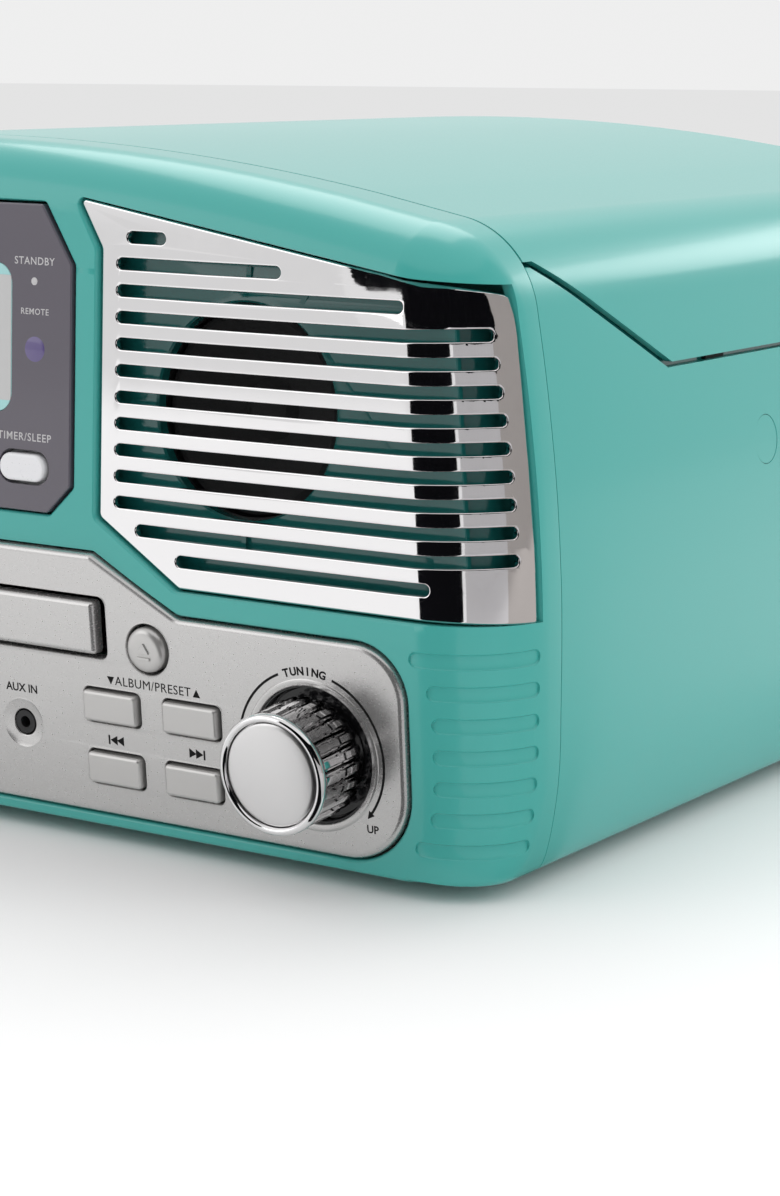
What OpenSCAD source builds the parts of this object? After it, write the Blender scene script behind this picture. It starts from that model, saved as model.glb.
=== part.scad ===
// Table-top retro music centre: belt-drive turntable under a hinged lid, CD drawer, radio and two speakers.
// Millimetres. +X is the right side seen from the front, +Y the back, +Z up; origin under the middle, on the floor.

/* [Body] */
// Depth of the body from its front bottom edge to its back
body_d = 350; // [346:1:360]
// Height of the rubber feet
foot_h = 5; // [4:0.5:8]
// Wall thickness of the moulded shells
wall = 3; // [2.8:0.1:3.2]
// Depth of the front moulding, from the front bottom edge to the parting line
parting_y = 31; // [30:0.5:32]
// Backward lean of the control face below the waist, degrees
lean_low = 5; // [4.5:0.1:5.5]
// Backward lean of the grille face above the waist, degrees
lean_up = 1.8; // [1.5:0.1:2.1]

/* [Lid] */
// Height of the gap between the lid and the cabinet shell that it closes on
lid_gap = 1.5; // [1:0.1:1.8]
// How far the lid's slanting edge stands behind the cabinet shell's
lid_back = 2.8; // [1.5:0.1:3]
// Gap between the lid and the front moulding
lid_front_gap = 0.6; // [0.5:0.1:1]
// Wall thickness of the lid
lid_wall = 2.6; // [2.4:0.1:2.8]

/* [Turntable] */
// Radius of the platter
platter_r = 98; // [90:1:100]
// Radius of the platter's inner drive rim
drive_r = 60; // [56:1:62]
// Radius of the motor pulley
pulley_r = 6; // [5:0.5:7]
// Diameter of the tonearm tube
arm_d = 8; // [7:0.5:9]
// Distance from the tonearm pivot to the stylus
arm_length = 215; // [212:1:216]

/* [Controls] */
// Radius of the knobs' chrome caps
knob_r = 18.1; // [15:0.1:18.5]
// How far the knobs stand out of the control panel
knob_out = 22; // [17:0.5:22]
// Number of flutes round each knob
flutes = 24; // [18:1:26]
// Width of a rectangular button
button_w = 19.6; // [18:0.1:19.8]
// Height of a rectangular button
button_h = 9.4; // [8.6:0.1:9.6]

/* [Grilles] */
// Number of slots in each grille
slots = 13; // [13:1:13]
// Width of a grille slot
slot_w = 3.4; // [3:0.1:3.8]
// Distance from slot to slot
slot_pitch = 7.65; // [7.6:0.05:7.65]

/* [Hidden] */
$fn = 64;

// Colours
teal = [0.42, 0.75, 0.72];
silver = [0.78, 0.78, 0.77];
chrome = [0.85, 0.85, 0.87];
black = [0.08, 0.08, 0.09];
charcoal = [0.25, 0.23, 0.26];

// Outline of the body across its width: right half, in body coordinates (z = 0 at the body's underside)
waist_z = 70;
waist_y = -waist_z * tan(lean_low);
side_x = 208.8;
corner_r = 12;
side = [[209.1, 52], [209.05, 61], [208.9, 70], [208.6, 80], [207.9, 92], [206.5, 109], [204.2, 128], [202, 143]];
shoulder = [169.6, 154.2, 30];
crown_r = 845.6;
top_z = 202;
face_round = 25.5;
top_round = 18;
bottom_round = 3.4;

// Hinge, and the middle of the whole object from front to back
hinge_r = 3.6;
hinge_z = 138;
hinge_y = body_d + hinge_r + 0.9;
knob_z = 33.2;
knob_front = waist_y - knob_out * cos(lean_low) + (waist_z - knob_z - knob_r) * sin(lean_low);
front_y = -(hinge_y + hinge_r + knob_front) / 2;

// The lid's split line along each side: [y, z]
split = [[parting_y, 170.4], [33.5, 170.4], [102, 137.4], [body_d + 10, 137.4]];
deck_z = 136;

// Turntable layout in body coordinates
spindle = [-46, 191];
pivot = [135, 290];
arm_z = 166;
cue_r = 38;
cue_at = 58;
motor_at = [-46 - 80 * cos(35), 191 - 80 * sin(35)];

// Controls: places on the control panel, [x, z]
knob_x = 148.6;
jack_at = [43.1, 28.5];
round_button = [92, 57.2];
round_button_r = 6.8;
button_places = [[77.8, 37.9], [106.9, 37.9], [78.2, 18.8], [106.7, 18.8]];
door_w = 147;
door_z = [53.4, 69.6];
slot_box = [154, 52.3, 71];
pill_at = [46.1, 106.7];
pill = [17, 8.2];
lcd = [82.4, 122.3, 166.6];
speaker_at = [120.5, 128];
speaker_r = 31;
plug_at = [162.5, 110];
plug_r = 7.8;

function arc(cx, cz, r, a0, a1, n) = [for (i = [0:n]) let (a = a0 + (a1 - a0) * i / n) [cx + r * cos(a), cz + r * sin(a)]];
function mirrored(points) = [for (i = [len(points) - 1:-1:0]) [-points[i][0], points[i][1]]];
function both(points) = concat(points, mirrored(points));
function mix(a, b, t) = a + (b - a) * t;

// Right half of the body outline, moved in by tx at the sides, tz at the top and tb at the bottom
function half_outline(tx, tz, tb, rb, rt) = concat(
  arc(side_x - tx - rb, tb + rb, rb, -90, -1, 6),
  [for (p = side) [p[0] - tx, p[1]]],
  arc(shoulder[0] + shoulder[2] - tx - rt, shoulder[1] + shoulder[2] - tz - rt, rt, 8, 78, 8),
  [for (a = [80:2:90]) [(crown_r - tz) * cos(a), top_z - crown_r + (crown_r - tz) * sin(a)]]
);
function whole(half) = concat(half, [for (i = [len(half) - 2:-1:0]) let (p = half[i]) [-p[0], p[1]]]);
function outline(t) = whole(half_outline(t, t, t, corner_r - t, shoulder[2] - t));

// Depth at which each point of half_outline finishes turning from the front face into the side
bend = concat(
  [for (i = [0:6]) mix(bottom_round, face_round, i / 6)],
  [for (i = [0:7]) face_round],
  [for (i = [0:8]) mix(face_round, top_round, i / 8)],
  [for (i = [0:5]) top_round]
);
function lean(z) = z < waist_z ? -z * tan(lean_low) : waist_y + (z - waist_z) * tan(lean_up);

// One ring of the front moulding's skin: skin is its depth below the outer surface, turn goes from 0 to 90
function ring(turn, skin, back) =
  let (s = 1 - sin(turn), k = (face_round - skin) / face_round,
       half = half_outline(skin + s * face_round * k, skin + s * top_round * k, skin + s * bottom_round * k,
                           mix(corner_r - skin, 2, s), mix(shoulder[2] - skin, 2, s)))
  [for (i = [0:len(half) - 1])
    let (depth = back > 0 ? back : skin + bend[i] * k * (1 - cos(turn)))
    [half[i][0], depth + lean(half[i][1]) * max(0, 1 - depth / parting_y), half[i][1]]];
function full(half) = concat(half, [for (i = [len(half) - 2:-1:0]) let (p = half[i]) [-p[0], p[1], p[2]]]);

module skin_form(skin, back) {
  turns = [0, 15, 30, 45, 60, 75, 90];
  rings = concat([for (t = turns) full(ring(t, skin, 0))], [full(ring(90, skin, back))]);
  n = len(rings[0]);
  m = len(rings);
  top = (n - 1) / 2;
  cap = [for (i = [0:top - 1]) i == top - 1 ? [i, top, top + 1] : [i, i + 1, n - 2 - i, n - 1 - i]];
  polyhedron(
    points = [for (r = rings) each r],
    faces = concat(
      [for (f = cap) [for (i = [len(f) - 1:-1:0]) f[i]]],
      [for (j = [0:m - 2]) for (i = [0:n - 1]) each [
        [j * n + i, (j + 1) * n + (i + 1) % n, (j + 1) * n + i],
        [j * n + i, j * n + (i + 1) % n, (j + 1) * n + (i + 1) % n]]],
      [for (f = cap) [for (v = f) v + (m - 1) * n]]
    )
  );
}

// Frames: the body, and the two leaning faces of the front, where y = 0 is the face and z stays the body's
module in_body() { translate([0, front_y, foot_h]) children(); }
module lower_face() {
  in_body() translate([0, waist_y, waist_z]) rotate([lean_low, 0, 0]) translate([0, 0, -waist_z]) children();
}
module upper_face() {
  in_body() translate([0, waist_y, waist_z]) rotate([-lean_up, 0, 0]) translate([0, 0, -waist_z]) children();
}
// A flat outline in x and z, from depth y0 to y1; one in y and z, from x0 to x1; and a rod along y
module xz(y0, y1) { translate([0, y1, 0]) rotate([90, 0, 0]) linear_extrude(y1 - y0) children(); }
module yz(x0, x1) { translate([x0, 0, 0]) rotate([90, 0, 90]) linear_extrude(x1 - x0) children(); }
module rod(r, y0, y1, at = [0, 0]) { translate([at[0], y1, at[1]]) rotate([90, 0, 0]) cylinder(r = r, h = y1 - y0); }
module box(low, high) { translate(low) cube(high - low); }
module both_sides() { children(); mirror([1, 0, 0]) children(); }
module rounded(w, h, r) {
  polygon(concat(arc(w / 2 - r, h / 2 - r, r, 0, 90, 5), arc(r - w / 2, h / 2 - r, r, 90, 180, 5),
                 arc(r - w / 2, r - h / 2, r, 180, 270, 5), arc(w / 2 - r, r - h / 2, r, 270, 360, 5)));
}

// Outlines on the faces, grown by g
module grille_outline(g) {
  polygon([[72.8 - g, 94.3 - g / 2], [72.8 - g, 172.1], [64.2 - g, 186.3 + g], [168, 169.6 + g], [176, 168.3 + g],
           [240, 163.9 + g], [240, 75.9 - g], [102.1 - g / 2, 75.9 - g]]);
}
module display_outline(g) {
  polygon(both([[55 + g / 2, 93.8 - g], [63.5 + g, 102.3 - g / 2], [63.5 + g, 166.8], [52.4 + g, 184 + g]]));
}
module panel_outline(g) {
  polygon(both(concat(arc(158.8, 25, 21 + g, -90, 0, 9), arc(163.8, 51.5, 16 + g, 0, 90, 7),
                      [[102.7, 67.5 + g], [72.2, 83.5 + g]])));
}
module rib_grooves() {
  for (i = [0:6]) {
    z = 65.1 - i * 9.1;
    x = 190.4 - 0.08 * pow(abs(3 - i), 4);
    xz(-20, parting_y - 11.4) {
      translate([x, z - 2.4]) square([40, 4.8]);
      translate([x, z]) circle(r = 2.4);
    }
  }
}

// ---- Body shells ----
module front_moulding() {
  color(teal) {
    difference() {
      in_body() skin_form(0, parting_y);
      in_body() skin_form(wall, parting_y + 1);
      both_sides() intersection() {
        upper_face() xz(-30, 40) grille_outline(0.6);
        in_body() box([0, -40, 0], [260, 20.8, 200]);
      }
      upper_face() xz(-20, 12) display_outline(0.6);
      lower_face() xz(-20, 12) panel_outline(0.7);
      difference() {
        both_sides() in_body() rib_grooves();
        in_body() skin_form(0.8, parting_y + 2);
      }
    }
    both_sides() speaker_baffle();
  }
}
module speaker_baffle() {
  upper_face() difference() {
    xz(9, 11) polygon([[66.5, 92], [66.5, 184], [180, 167], [188, 160], [194.4, 92], [196, 71], [100, 71]]);
    rod(speaker_r, 0, 20, speaker_at);
  }
  upper_face() {
    for (z = [96, 128, 160]) box([66.6, 2, z], [68.6, 9.5, z + 3]);
    for (x = [130, 165]) box([x, 2, 71.5], [x + 3, 9.5, 74]);
  }
}
module cabinet_shell() {
  color(teal) in_body() difference() {
    xz(parting_y + 0.05, body_d) polygon(outline(0));
    xz(parting_y - 1, body_d - wall) polygon(outline(wall));
    yz(-250, 250) polygon([each split, [body_d + 10, 260], [parting_y - 5, 260], [parting_y - 5, 170.4]]);
    box([-188.4, 42, -1], [188.4, 338, 4]);
    box([-150.4, body_d - 5, 19.6], [150.4, body_d + 1, 112.4]);
    both_sides() box([150, body_d - 5, 50], [158, body_d + 1, 80]);
    both_sides() translate([180, plug_at[0], plug_at[1]]) rotate([0, 90, 0]) cylinder(r = plug_r, h = 40);
  }
  color(teal) both_sides() in_body() box([190, 60, 128], [199.8, 340, deck_z - 3]);
}
module bottom_plate() {
  color(black) in_body() difference() {
    box([-188, 42.4, 0], [188, 337.6, 2.6]);
    for (i = [-5:5]) box([i * 12 - 2, 150, -1], [i * 12 + 2, 210, 4]);
  }
}
module rear_panel() {
  color(black) in_body() difference() {
    union() {
      box([-150, body_d - 2.6, 20], [150, body_d - 0.4, 112]);
      both_sides() box([149.9, body_d - 2.6, 50.4], [157.6, body_d - 0.4, 79.6]);
    }
    for (x = [60, 80]) rod(6.4, body_d - 5, body_d + 1, [x, 40]);
    box([-122.3, body_d - 5, 29.7], [-97.7, body_d + 1, 50.3]);
    for (i = [0:5]) box([-60, body_d - 5, 60 + i * 7], [40, body_d + 1, 63 + i * 7]);
  }
}
module rubber_feet() {
  color(black) in_body() for (x = [-165, 165], y = [78, 300]) translate([x, y, -foot_h]) {
    cylinder(r = 11, h = foot_h);
  }
}
module side_plugs() {
  color(teal) both_sides() in_body() {
    plug_layer(plug_r - 0.3, 0.25, wall + 1.4);
    plug_layer(plug_r + 1.5, wall, wall + 1.4);
  }
}
// A disc that follows the side's curve, between two depths below its surface
module plug_layer(r, outer, inner) {
  intersection() {
    translate([0, plug_at[0], plug_at[1]]) rotate([0, 90, 0]) cylinder(r = r, h = 220);
    difference() {
      xz(150, 195) polygon(outline(outer));
      xz(149, 196) polygon(outline(inner));
    }
  }
}

// ---- Grilles and speakers ----
grille_y = 1.6;
grille_t = 1.8;
wrap_r = face_round - grille_y;
crease = [[182.8, 75.9], [174.3, 167.8]];
crease_tilt = atan((crease[0][0] - crease[1][0]) / (crease[1][1] - crease[0][1]));
function slot_left(i) = i == 0 ? 82 : i == 11 ? 86.3 : i == 12 ? 100.9 : 78.4;
function slot_right(i, z) =
  i == 0 ? 95.6 : i == 1 ? 135.5 : i == 2 ? 175.5 : i == 12 ? 186.7 : 204.5 - (z - 91.55) * 0.118;
function slot_rise(x) = x < 110 ? 0 : x < 180 ? (x - 110) * 0.006 : 0.42 + (x - 180) * 0.062;
module grille() {
  intersection() {
    grille_sheet();
    in_body() xz(-20, 20.2) polygon(outline(1.4));
  }
}
module grille_sheet() {
  upper_face() difference() {
    intersection() {
      union() {
        xz(grille_y, grille_y + grille_t) polygon([[60, 60], [crease[0][0] + 15.9 * tan(crease_tilt), 60],
                                                  [crease[1][0] - 30 * tan(crease_tilt), 197.8], [60, 197.8]]);
        translate([crease[0][0], 0, crease[0][1]]) rotate([0, -crease_tilt, 0]) translate([0, 0, -16])
          linear_extrude(140) translate([0, grille_y + wrap_r]) difference() {
            intersection() {
              circle(r = wrap_r);
              translate([0, -60]) square([80, 62]);
            }
            circle(r = wrap_r - grille_t);
          }
      }
      xz(-5, 40) grille_outline(0);
    }
    for (i = [0:slots - 1]) {
      z = 175.7 - i * slot_pitch;
      r = slot_w / 2;
      left = slot_left(i) + r;
      right = slot_right(i, z) - r;
      bends = [for (x = [110, 180, 190]) if (x > left && x < right - 4) x];
      xz(-2, 22) polygon(concat(
        arc(left, z, r, 90, 270, 6), [for (x = bends) [x, z - r + slot_rise(x)]],
        arc(right, z + slot_rise(right), r, -90, 90, 6),
        [for (i = [len(bends) - 1:-1:0]) [bends[i], z + r + slot_rise(bends[i])]]));
    }
  }
}
module grille_right() { color(chrome) grille(); }
module grille_left() { color(chrome) mirror([1, 0, 0]) grille(); }
module speaker_turned() {
  upper_face() translate([speaker_at[0], 11, speaker_at[1]]) rotate([-90, 0, 0]) rotate_extrude() children();
}
module speaker_frame() {
  speaker_turned() polygon([[30.4, 0], [37.5, 0], [37.5, 2], [33, 2], [24, 14], [24, 22], [0, 22], [0, 16], [12, 16],
                            [12, 13.6], [22, 13.6], [30.4, 2.4]]);
}
module speaker_cone() {
  speaker_turned() polygon([[0, 7], [6, 7.8], [9, 10], [27.5, 0.6], [29.6, 1.2], [29.6, 2.2], [27.8, 2], [10, 11.6],
                            [10, 15.6], [9.2, 15.6], [9.2, 11.4], [6, 8.8], [0, 8]]);
}
module speaker_frames() { color(black) both_sides() speaker_frame(); }
module speaker_cones() { color(charcoal) both_sides() speaker_cone(); }

// ---- Display ----
module display_panel() {
  color(charcoal) upper_face() difference() {
    xz(-0.6, 3.2) display_outline(0);
    translate([0, 0, (lcd[1] + lcd[2]) / 2]) xz(-2, 5) rounded(lcd[0], lcd[2] - lcd[1], 6);
    for (s = [-1, 1]) translate([s * pill_at[0], 0, pill_at[1]]) xz(-2, 5) rounded(pill[0] + 2, pill[1] + 2, 5);
  }
}
module lcd_window() {
  color([0.7, 0.8, 0.8]) upper_face() translate([0, 0, (lcd[1] + lcd[2]) / 2]) {
    xz(0.2, 3.2) rounded(lcd[0] - 0.3, lcd[2] - lcd[1] - 0.3, 5.9);
    xz(3.2, 7) square([lcd[0] + 8, lcd[2] - lcd[1] + 8], center = true);
  }
}
module pill_button(side) {
  upper_face() translate([side * pill_at[0], 0, pill_at[1]]) {
    xz(-1.8, 5) rounded(pill[0], pill[1], 4);
    xz(5, 6.5) rounded(pill[0] + 3, pill[1] + 3, 4);
  }
}
module timer_button() { color(silver) pill_button(1); }
module mode_button() { color(silver) pill_button(-1); }

// ---- Control panel ----
module control_panel() {
  color(silver) lower_face() difference() {
    union() {
      xz(-0.4, 3.1) panel_outline(0);
      xz(-1, 1) panel_outline(-1.6);
    }
    translate([0, 0, (slot_box[1] + slot_box[2]) / 2]) xz(-5, 8) square([slot_box[0], slot_box[2] - slot_box[1]], center = true);
    both_sides() {
      rod(19.8, -5, 8, [knob_x, knob_z]);
      rod(round_button_r + 1, -5, 8, round_button);
      rod(4.2, -5, 8, jack_at);
      rod(6.4, -5, -0.2, jack_at);
      for (p = button_places) translate([p[0], 0, p[1]]) xz(-5, 8) rounded(button_w + 1, button_h + 1, 1.3);
    }
  }
}
module control_backing() {
  color(black) lower_face() difference() {
    xz(3.1, 5) panel_outline(-1.2);
    box([-78, 0, slot_box[1] - 1], [78, 10, slot_box[2] + 2]);
    both_sides() {
      rod(5.6, 0, 8, [knob_x, knob_z]);
      rod(round_button_r + 0.6, 0, 8, round_button);
      rod(4.3, 0, 8, jack_at);
      for (p = button_places) translate([p[0], 0, p[1]]) xz(0, 8) rounded(button_w + 1.4, button_h + 1.4, 1.3);
    }
  }
}
module control_board() {
  color([0.1, 0.35, 0.2]) lower_face() both_sides() difference() {
    box([30, 12, 8], [196, 13.6, 49]);
    rod(5.6, 8, 16, [knob_x, knob_z]);
    rod(7, 8, 16, jack_at);
  }
}
module potentiometers() {
  color(silver) lower_face() both_sides() translate([knob_x, 0, knob_z]) difference() {
    union() {
      rod(5, 5.5, 14);
      xz(14, 22) square([17, 17], center = true);
    }
    rod(3.05, 4, 20);
  }
}
module jack() {
  lower_face() translate([jack_at[0], 0, jack_at[1]]) difference() {
    union() {
      rod(3.6, -0.1, 9);
      xz(9, 22) square([9, 9], center = true);
    }
    rod(1.8, -1, 17);
  }
}
module front_jacks() { color(black) both_sides() jack(); }
module push_button(place, side) {
  at = button_places[place];
  color(silver) lower_face() mirror([side, 0, 0]) translate([at[0], 0, at[1]]) {
    xz(-3, 6) rounded(button_w, button_h, 0.9);
    xz(6, 7.4) rounded(button_w + 2.6, button_h + 2.6, 0.9);
  }
}
module preset_down_button() { push_button(0, 0); }
module preset_up_button() { push_button(1, 0); }
module skip_back_button() { push_button(2, 0); }
module skip_forward_button() { push_button(3, 0); }
module function_button() { push_button(0, 1); }
module band_button() { push_button(1, 1); }
module program_button() { push_button(2, 1); }
module stop_button() { push_button(3, 1); }
module round_push(side) {
  lower_face() mirror([side, 0, 0]) translate([round_button[0], 0, round_button[1]]) {
    rod(round_button_r, -3, 6);
    rod(round_button_r + 1.4, 6, 7.4);
  }
}
module eject_button() { color(silver) round_push(0); }
module play_button() { color(silver) round_push(1); }
module knob(side) {
  lower_face() mirror([side, 0, 0]) translate([knob_x, 0, knob_z]) {
    xz(-knob_out + 4, 2.4) difference() {
      circle(r = knob_r - 0.2);
      for (i = [0:flutes - 1]) rotate(i * 360 / flutes) translate([knob_r + 0.6, 0]) circle(r = 1.6, $fn = 24);
    }
    rod(knob_r, -knob_out, -knob_out + 4);
    rod(3, 2.4, 18);
  }
}
module tuning_knob() { color(chrome) knob(0); }
module volume_knob() { color(chrome) knob(1); }

// ---- CD player ----
module cd_mechanism() {
  color(silver) in_body() difference() {
    box([-74, 12, 46], [74, 176, 76]);
    box([-70, 10, 52], [70, 174, 71.4]);
    box([-60, 30, 44], [60, 140, 50]);
  }
  color(silver) in_body() for (x = [-66, 66], y = [50, 150]) translate([x, y, 2.6]) cylinder(r = 4, h = 44);
}
module cd_tray() {
  color(black) in_body() difference() {
    box([-67, -3.2, 56], [67, 160, 62]);
    translate([0, 68, 60]) cylinder(r = 60.5, h = 5);
    translate([0, 68, 58.6]) cylinder(r = 40.5, h = 5);
    translate([0, 68, 50]) cylinder(r = 17, h = 20);
    box([-17, 68, 50], [17, 128, 70]);
  }
}
module cd_door() {
  color(silver) lower_face() translate([0, 0, (door_z[0] + door_z[1]) / 2])
    xz(-2.4, 1.6) rounded(door_w, door_z[1] - door_z[0], 1.2);
}

// ---- Inside ----
module main_board() {
  color([0.1, 0.35, 0.2]) in_body() {
    box([-90, 170, 10], [120, 320, 11.6]);
    for (x = [-84, 114], y = [176, 314]) translate([x, y, 2.6]) cylinder(r = 3, h = 7.4);
    box([-40, 240, 11.6], [0, 300, 31.6]);
    for (x = [40:18:94]) translate([x, 200, 11.6]) cylinder(r = 6, h = 22);
  }
}
module power_transformer() {
  color([0.3, 0.3, 0.32]) in_body() {
    box([-176, 250, 2.6], [-116, 310, 6]);
    box([-170, 256, 6], [-122, 304, 46]);
  }
}
module line_out_jacks() {
  color(silver) in_body() for (x = [60, 80]) difference() {
    union() {
      rod(6, body_d - 14, body_d, [x, 40]);
      rod(4.15, body_d, body_d + 7.6, [x, 40]);
    }
    rod(1.6, body_d - 6, body_d + 10, [x, 40]);
  }
}
module power_inlet() {
  color(black) in_body() difference() {
    box([-122, body_d - 20, 30], [-98, body_d - 0.4, 50]);
    box([-118, body_d - 14, 34], [-102, body_d + 1, 46]);
  }
  color(silver) in_body() for (x = [-114, -106]) rod(1.2, body_d - 14.01, body_d - 5, [x, 40]);
}

// ---- Turntable deck ----
module deck_plate() {
  color(teal) in_body() difference() {
    union() {
      box([-198, 34, deck_z - 3], [198, body_d - wall - 0.4, deck_z]);
      intersection() {
        xz(34, 36.4) polygon(outline(4.6));
        box([-230, 30, deck_z - 3], [230, 40, 220]);
      }
      translate([172, 75, deck_z]) cylinder(r = 3.4, h = 6);
    }
    translate([spindle[0], spindle[1], 120]) cylinder(r = 6.3, h = 30);
    translate([motor_at[0], motor_at[1], 120]) cylinder(r = 7.5, h = 30);
    box([164, 197, 120], [168, 213, 150]);
    box([164, 161, 120], [168, 173, 150]);
  }
}
module motor() {
  color([0.6, 0.6, 0.62]) in_body() translate([motor_at[0], motor_at[1], 0]) {
    translate([0, 0, deck_z - 27]) cylinder(r = 16, h = 24);
    translate([0, 0, deck_z - 3]) cylinder(r = 1, h = 9);
  }
}
module motor_pulley() {
  color([0.7, 0.6, 0.3]) in_body() translate([motor_at[0], motor_at[1], 0]) difference() {
    union() {
      translate([0, 0, deck_z + 1]) cylinder(r = pulley_r, h = 8.6);
      translate([0, 0, deck_z + 1]) cylinder(r = pulley_r + 1.2, h = 1.2);
    }
    translate([0, 0, deck_z]) cylinder(r = 1.04, h = 8);
  }
}
module spindle_bearing() {
  color(chrome) in_body() translate([spindle[0], spindle[1], 0]) {
    translate([0, 0, 114]) cylinder(r = 10, h = deck_z - 3 - 114);
    translate([0, 0, deck_z - 3]) cylinder(r = 6, h = 5);
    translate([0, 0, deck_z + 2]) cylinder(r = 3.5, h = 26);
    translate([0, 0, deck_z + 28]) cylinder(r1 = 3.5, r2 = 1.8, h = 3);
  }
}
module platter() {
  color(black) in_body() translate([spindle[0], spindle[1], 0]) difference() {
    translate([0, 0, deck_z + 2.6]) cylinder(r = platter_r, h = 11.4);
    difference() {
      translate([0, 0, deck_z]) cylinder(r = platter_r - 4, h = 11);
      translate([0, 0, deck_z - 1]) cylinder(r = drive_r, h = 14);
    }
    difference() {
      translate([0, 0, deck_z]) cylinder(r = drive_r - 2.4, h = 11);
      translate([0, 0, deck_z - 1]) cylinder(r = 12, h = 14);
    }
    cylinder(r = 3.55, h = 200);
  }
}
module slip_mat() {
  color([0.13, 0.13, 0.14]) in_body() translate([spindle[0], spindle[1], deck_z + 14]) difference() {
    cylinder(r = platter_r - 2, h = 2);
    translate([0, 0, -1]) cylinder(r = 3.9, h = 5);
  }
}
module drive_belt() {
  run = motor_at - spindle;
  wrap = acos((drive_r - pulley_r) / norm(run));
  heading = atan2(run[1], run[0]);
  function loop(g) = [for (i = [0:40]) let (a = mix(wrap, 360 - wrap, i / 40)) (drive_r + g) * [cos(a), sin(a)]];
  function end(g) = [for (i = [0:12]) let (a = mix(-wrap, wrap, i / 12)) [norm(run), 0] + (pulley_r + g) * [cos(a), sin(a)]];
  color([0.05, 0.05, 0.05]) in_body() translate([spindle[0], spindle[1], deck_z + 4]) rotate(heading)
    linear_extrude(4.6) difference() {
      polygon(concat(loop(1.3), end(1.3)));
      polygon(concat(loop(0.45), end(0.45)));
    }
}

// ---- Tonearm ----
module at_pivot(turn = 0) { in_body() translate([pivot[0], pivot[1], 0]) rotate(turn) children(); }
module arm_base() {
  color(black) at_pivot() difference() {
    union() {
      translate([0, 0, deck_z]) cylinder(r = 24, h = 8);
      rotate(-90 - cue_at) box([0, -7, deck_z], [cue_r, 7, deck_z + 6]);
      rotate(-90 - cue_at) translate([cue_r, 0, deck_z]) cylinder(r = 7, h = 16);
      translate([22, -34, deck_z]) cylinder(r = 8, h = 10);
      box([14, -34, deck_z], [30, -8, deck_z + 6]);
    }
    rotate(-90 - cue_at) translate([cue_r, 0, deck_z + 3]) cylinder(r = 2.56, h = 20);
    translate([22, -34, deck_z + 3]) cylinder(r = 3.06, h = 20);
    translate([0, 0, deck_z + 2]) cylinder(r = 4.06, h = 20);
  }
}
module arm_yoke() {
  color(silver) at_pivot() {
    translate([0, 0, deck_z + 2.4]) cylinder(r = 4, h = 8);
    translate([0, 0, deck_z + 8.4]) cylinder(r = 16, h = 6);
    for (s = [-1, 1]) difference() {
      box([s * 10.5 - 2.5, -5, deck_z + 14], [s * 10.5 + 2.5, 5, arm_z + 5]);
      translate([s * 10.5 - 4, 0, arm_z]) rotate([0, 90, 0]) cylinder(r = 1.55, h = 8);
    }
  }
}
module tonearm() {
  color(silver) at_pivot() {
    translate([0, 0, arm_z]) {
      rod(arm_d / 2, 16 - arm_length, -6);
      rod(3, 6, 52);
      box([-6.5, -7, -6], [6.5, 7, 6]);
      translate([-13.2, 0, 0]) rotate([0, 90, 0]) cylinder(r = 1.5, h = 26.4);
      box([-8.5, -arm_length - 8, -1.5], [8.5, -arm_length + 20, 1.5]);
      box([8.5, -arm_length + 2, -1], [18, -arm_length + 6, 1]);
    }
  }
}
module counterweight() {
  color(black) at_pivot() translate([0, 0, arm_z]) difference() {
    rod(13, 24, 46);
    rod(3, 20, 60);
  }
}
module cartridge() {
  color(black) at_pivot() translate([0, 0, arm_z]) {
    box([-7, -arm_length - 6, -8], [7, -arm_length + 14, -1.5]);
    box([-3.5, -arm_length - 4, -10.4], [3.5, -arm_length + 6, -8]);
    translate([0, -arm_length, -12.4]) cylinder(r1 = 0.5, r2 = 1.4, h = 2);
  }
}
module arm_rest() {
  color(black) at_pivot() {
    translate([13, -112, deck_z]) cylinder(r = 7, h = 3);
    translate([13, -112, deck_z + 3]) cylinder(r = 3.6, h = 22);
    box([-6, -115, arm_z - 8], [16, -109, arm_z - arm_d / 2 - 0.5]);
    box([arm_d / 2 + 1, -115, arm_z - 8], [16, -109, arm_z + 4]);
  }
}
module cue_bar() {
  color(silver) at_pivot() {
    rotate(-90 - cue_at) translate([cue_r, 0, deck_z + 8]) cylinder(r = 2.5, h = arm_z - arm_d / 2 - 3 - deck_z - 8);
    translate([0, 0, arm_z - arm_d / 2 - 3]) rotate(-90 - cue_at - 8) rotate_extrude(angle = cue_at + 18)
      translate([cue_r - 3, 0]) square([6, 2.4]);
  }
}
module cue_lever() {
  color(silver) at_pivot() translate([22, -34, 0]) {
    translate([0, 0, deck_z + 4]) cylinder(r = 3, h = 8);
    translate([0, 0, deck_z + 10.4]) cylinder(r = 6.5, h = 4);
    rotate(-15) box([-2.6, -26, deck_z + 11], [2.6, 0, deck_z + 14]);
  }
}
module small_lever(at) {
  in_body() translate([at[0], at[1], 0]) {
    box([-1.6, -3, deck_z - 8], [1.6, 3, deck_z + 0.6]);
    box([-5, -4, deck_z + 0.6], [5, 4, deck_z + 5]);
  }
}
module speed_lever() { color(black) small_lever([166, 205]); }
module auto_stop_lever() { color(black) small_lever([166, 165]); }
module adapter_45() {
  color(charcoal) in_body() translate([172, 75, deck_z + 0.2]) difference() {
    union() {
      cylinder(r = 19, h = 2.4);
      translate([0, 0, 2.4]) cylinder(r1 = 19, r2 = 15, h = 2.6);
    }
    translate([0, 0, -1]) cylinder(r = 3.7, h = 10);
  }
}

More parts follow.
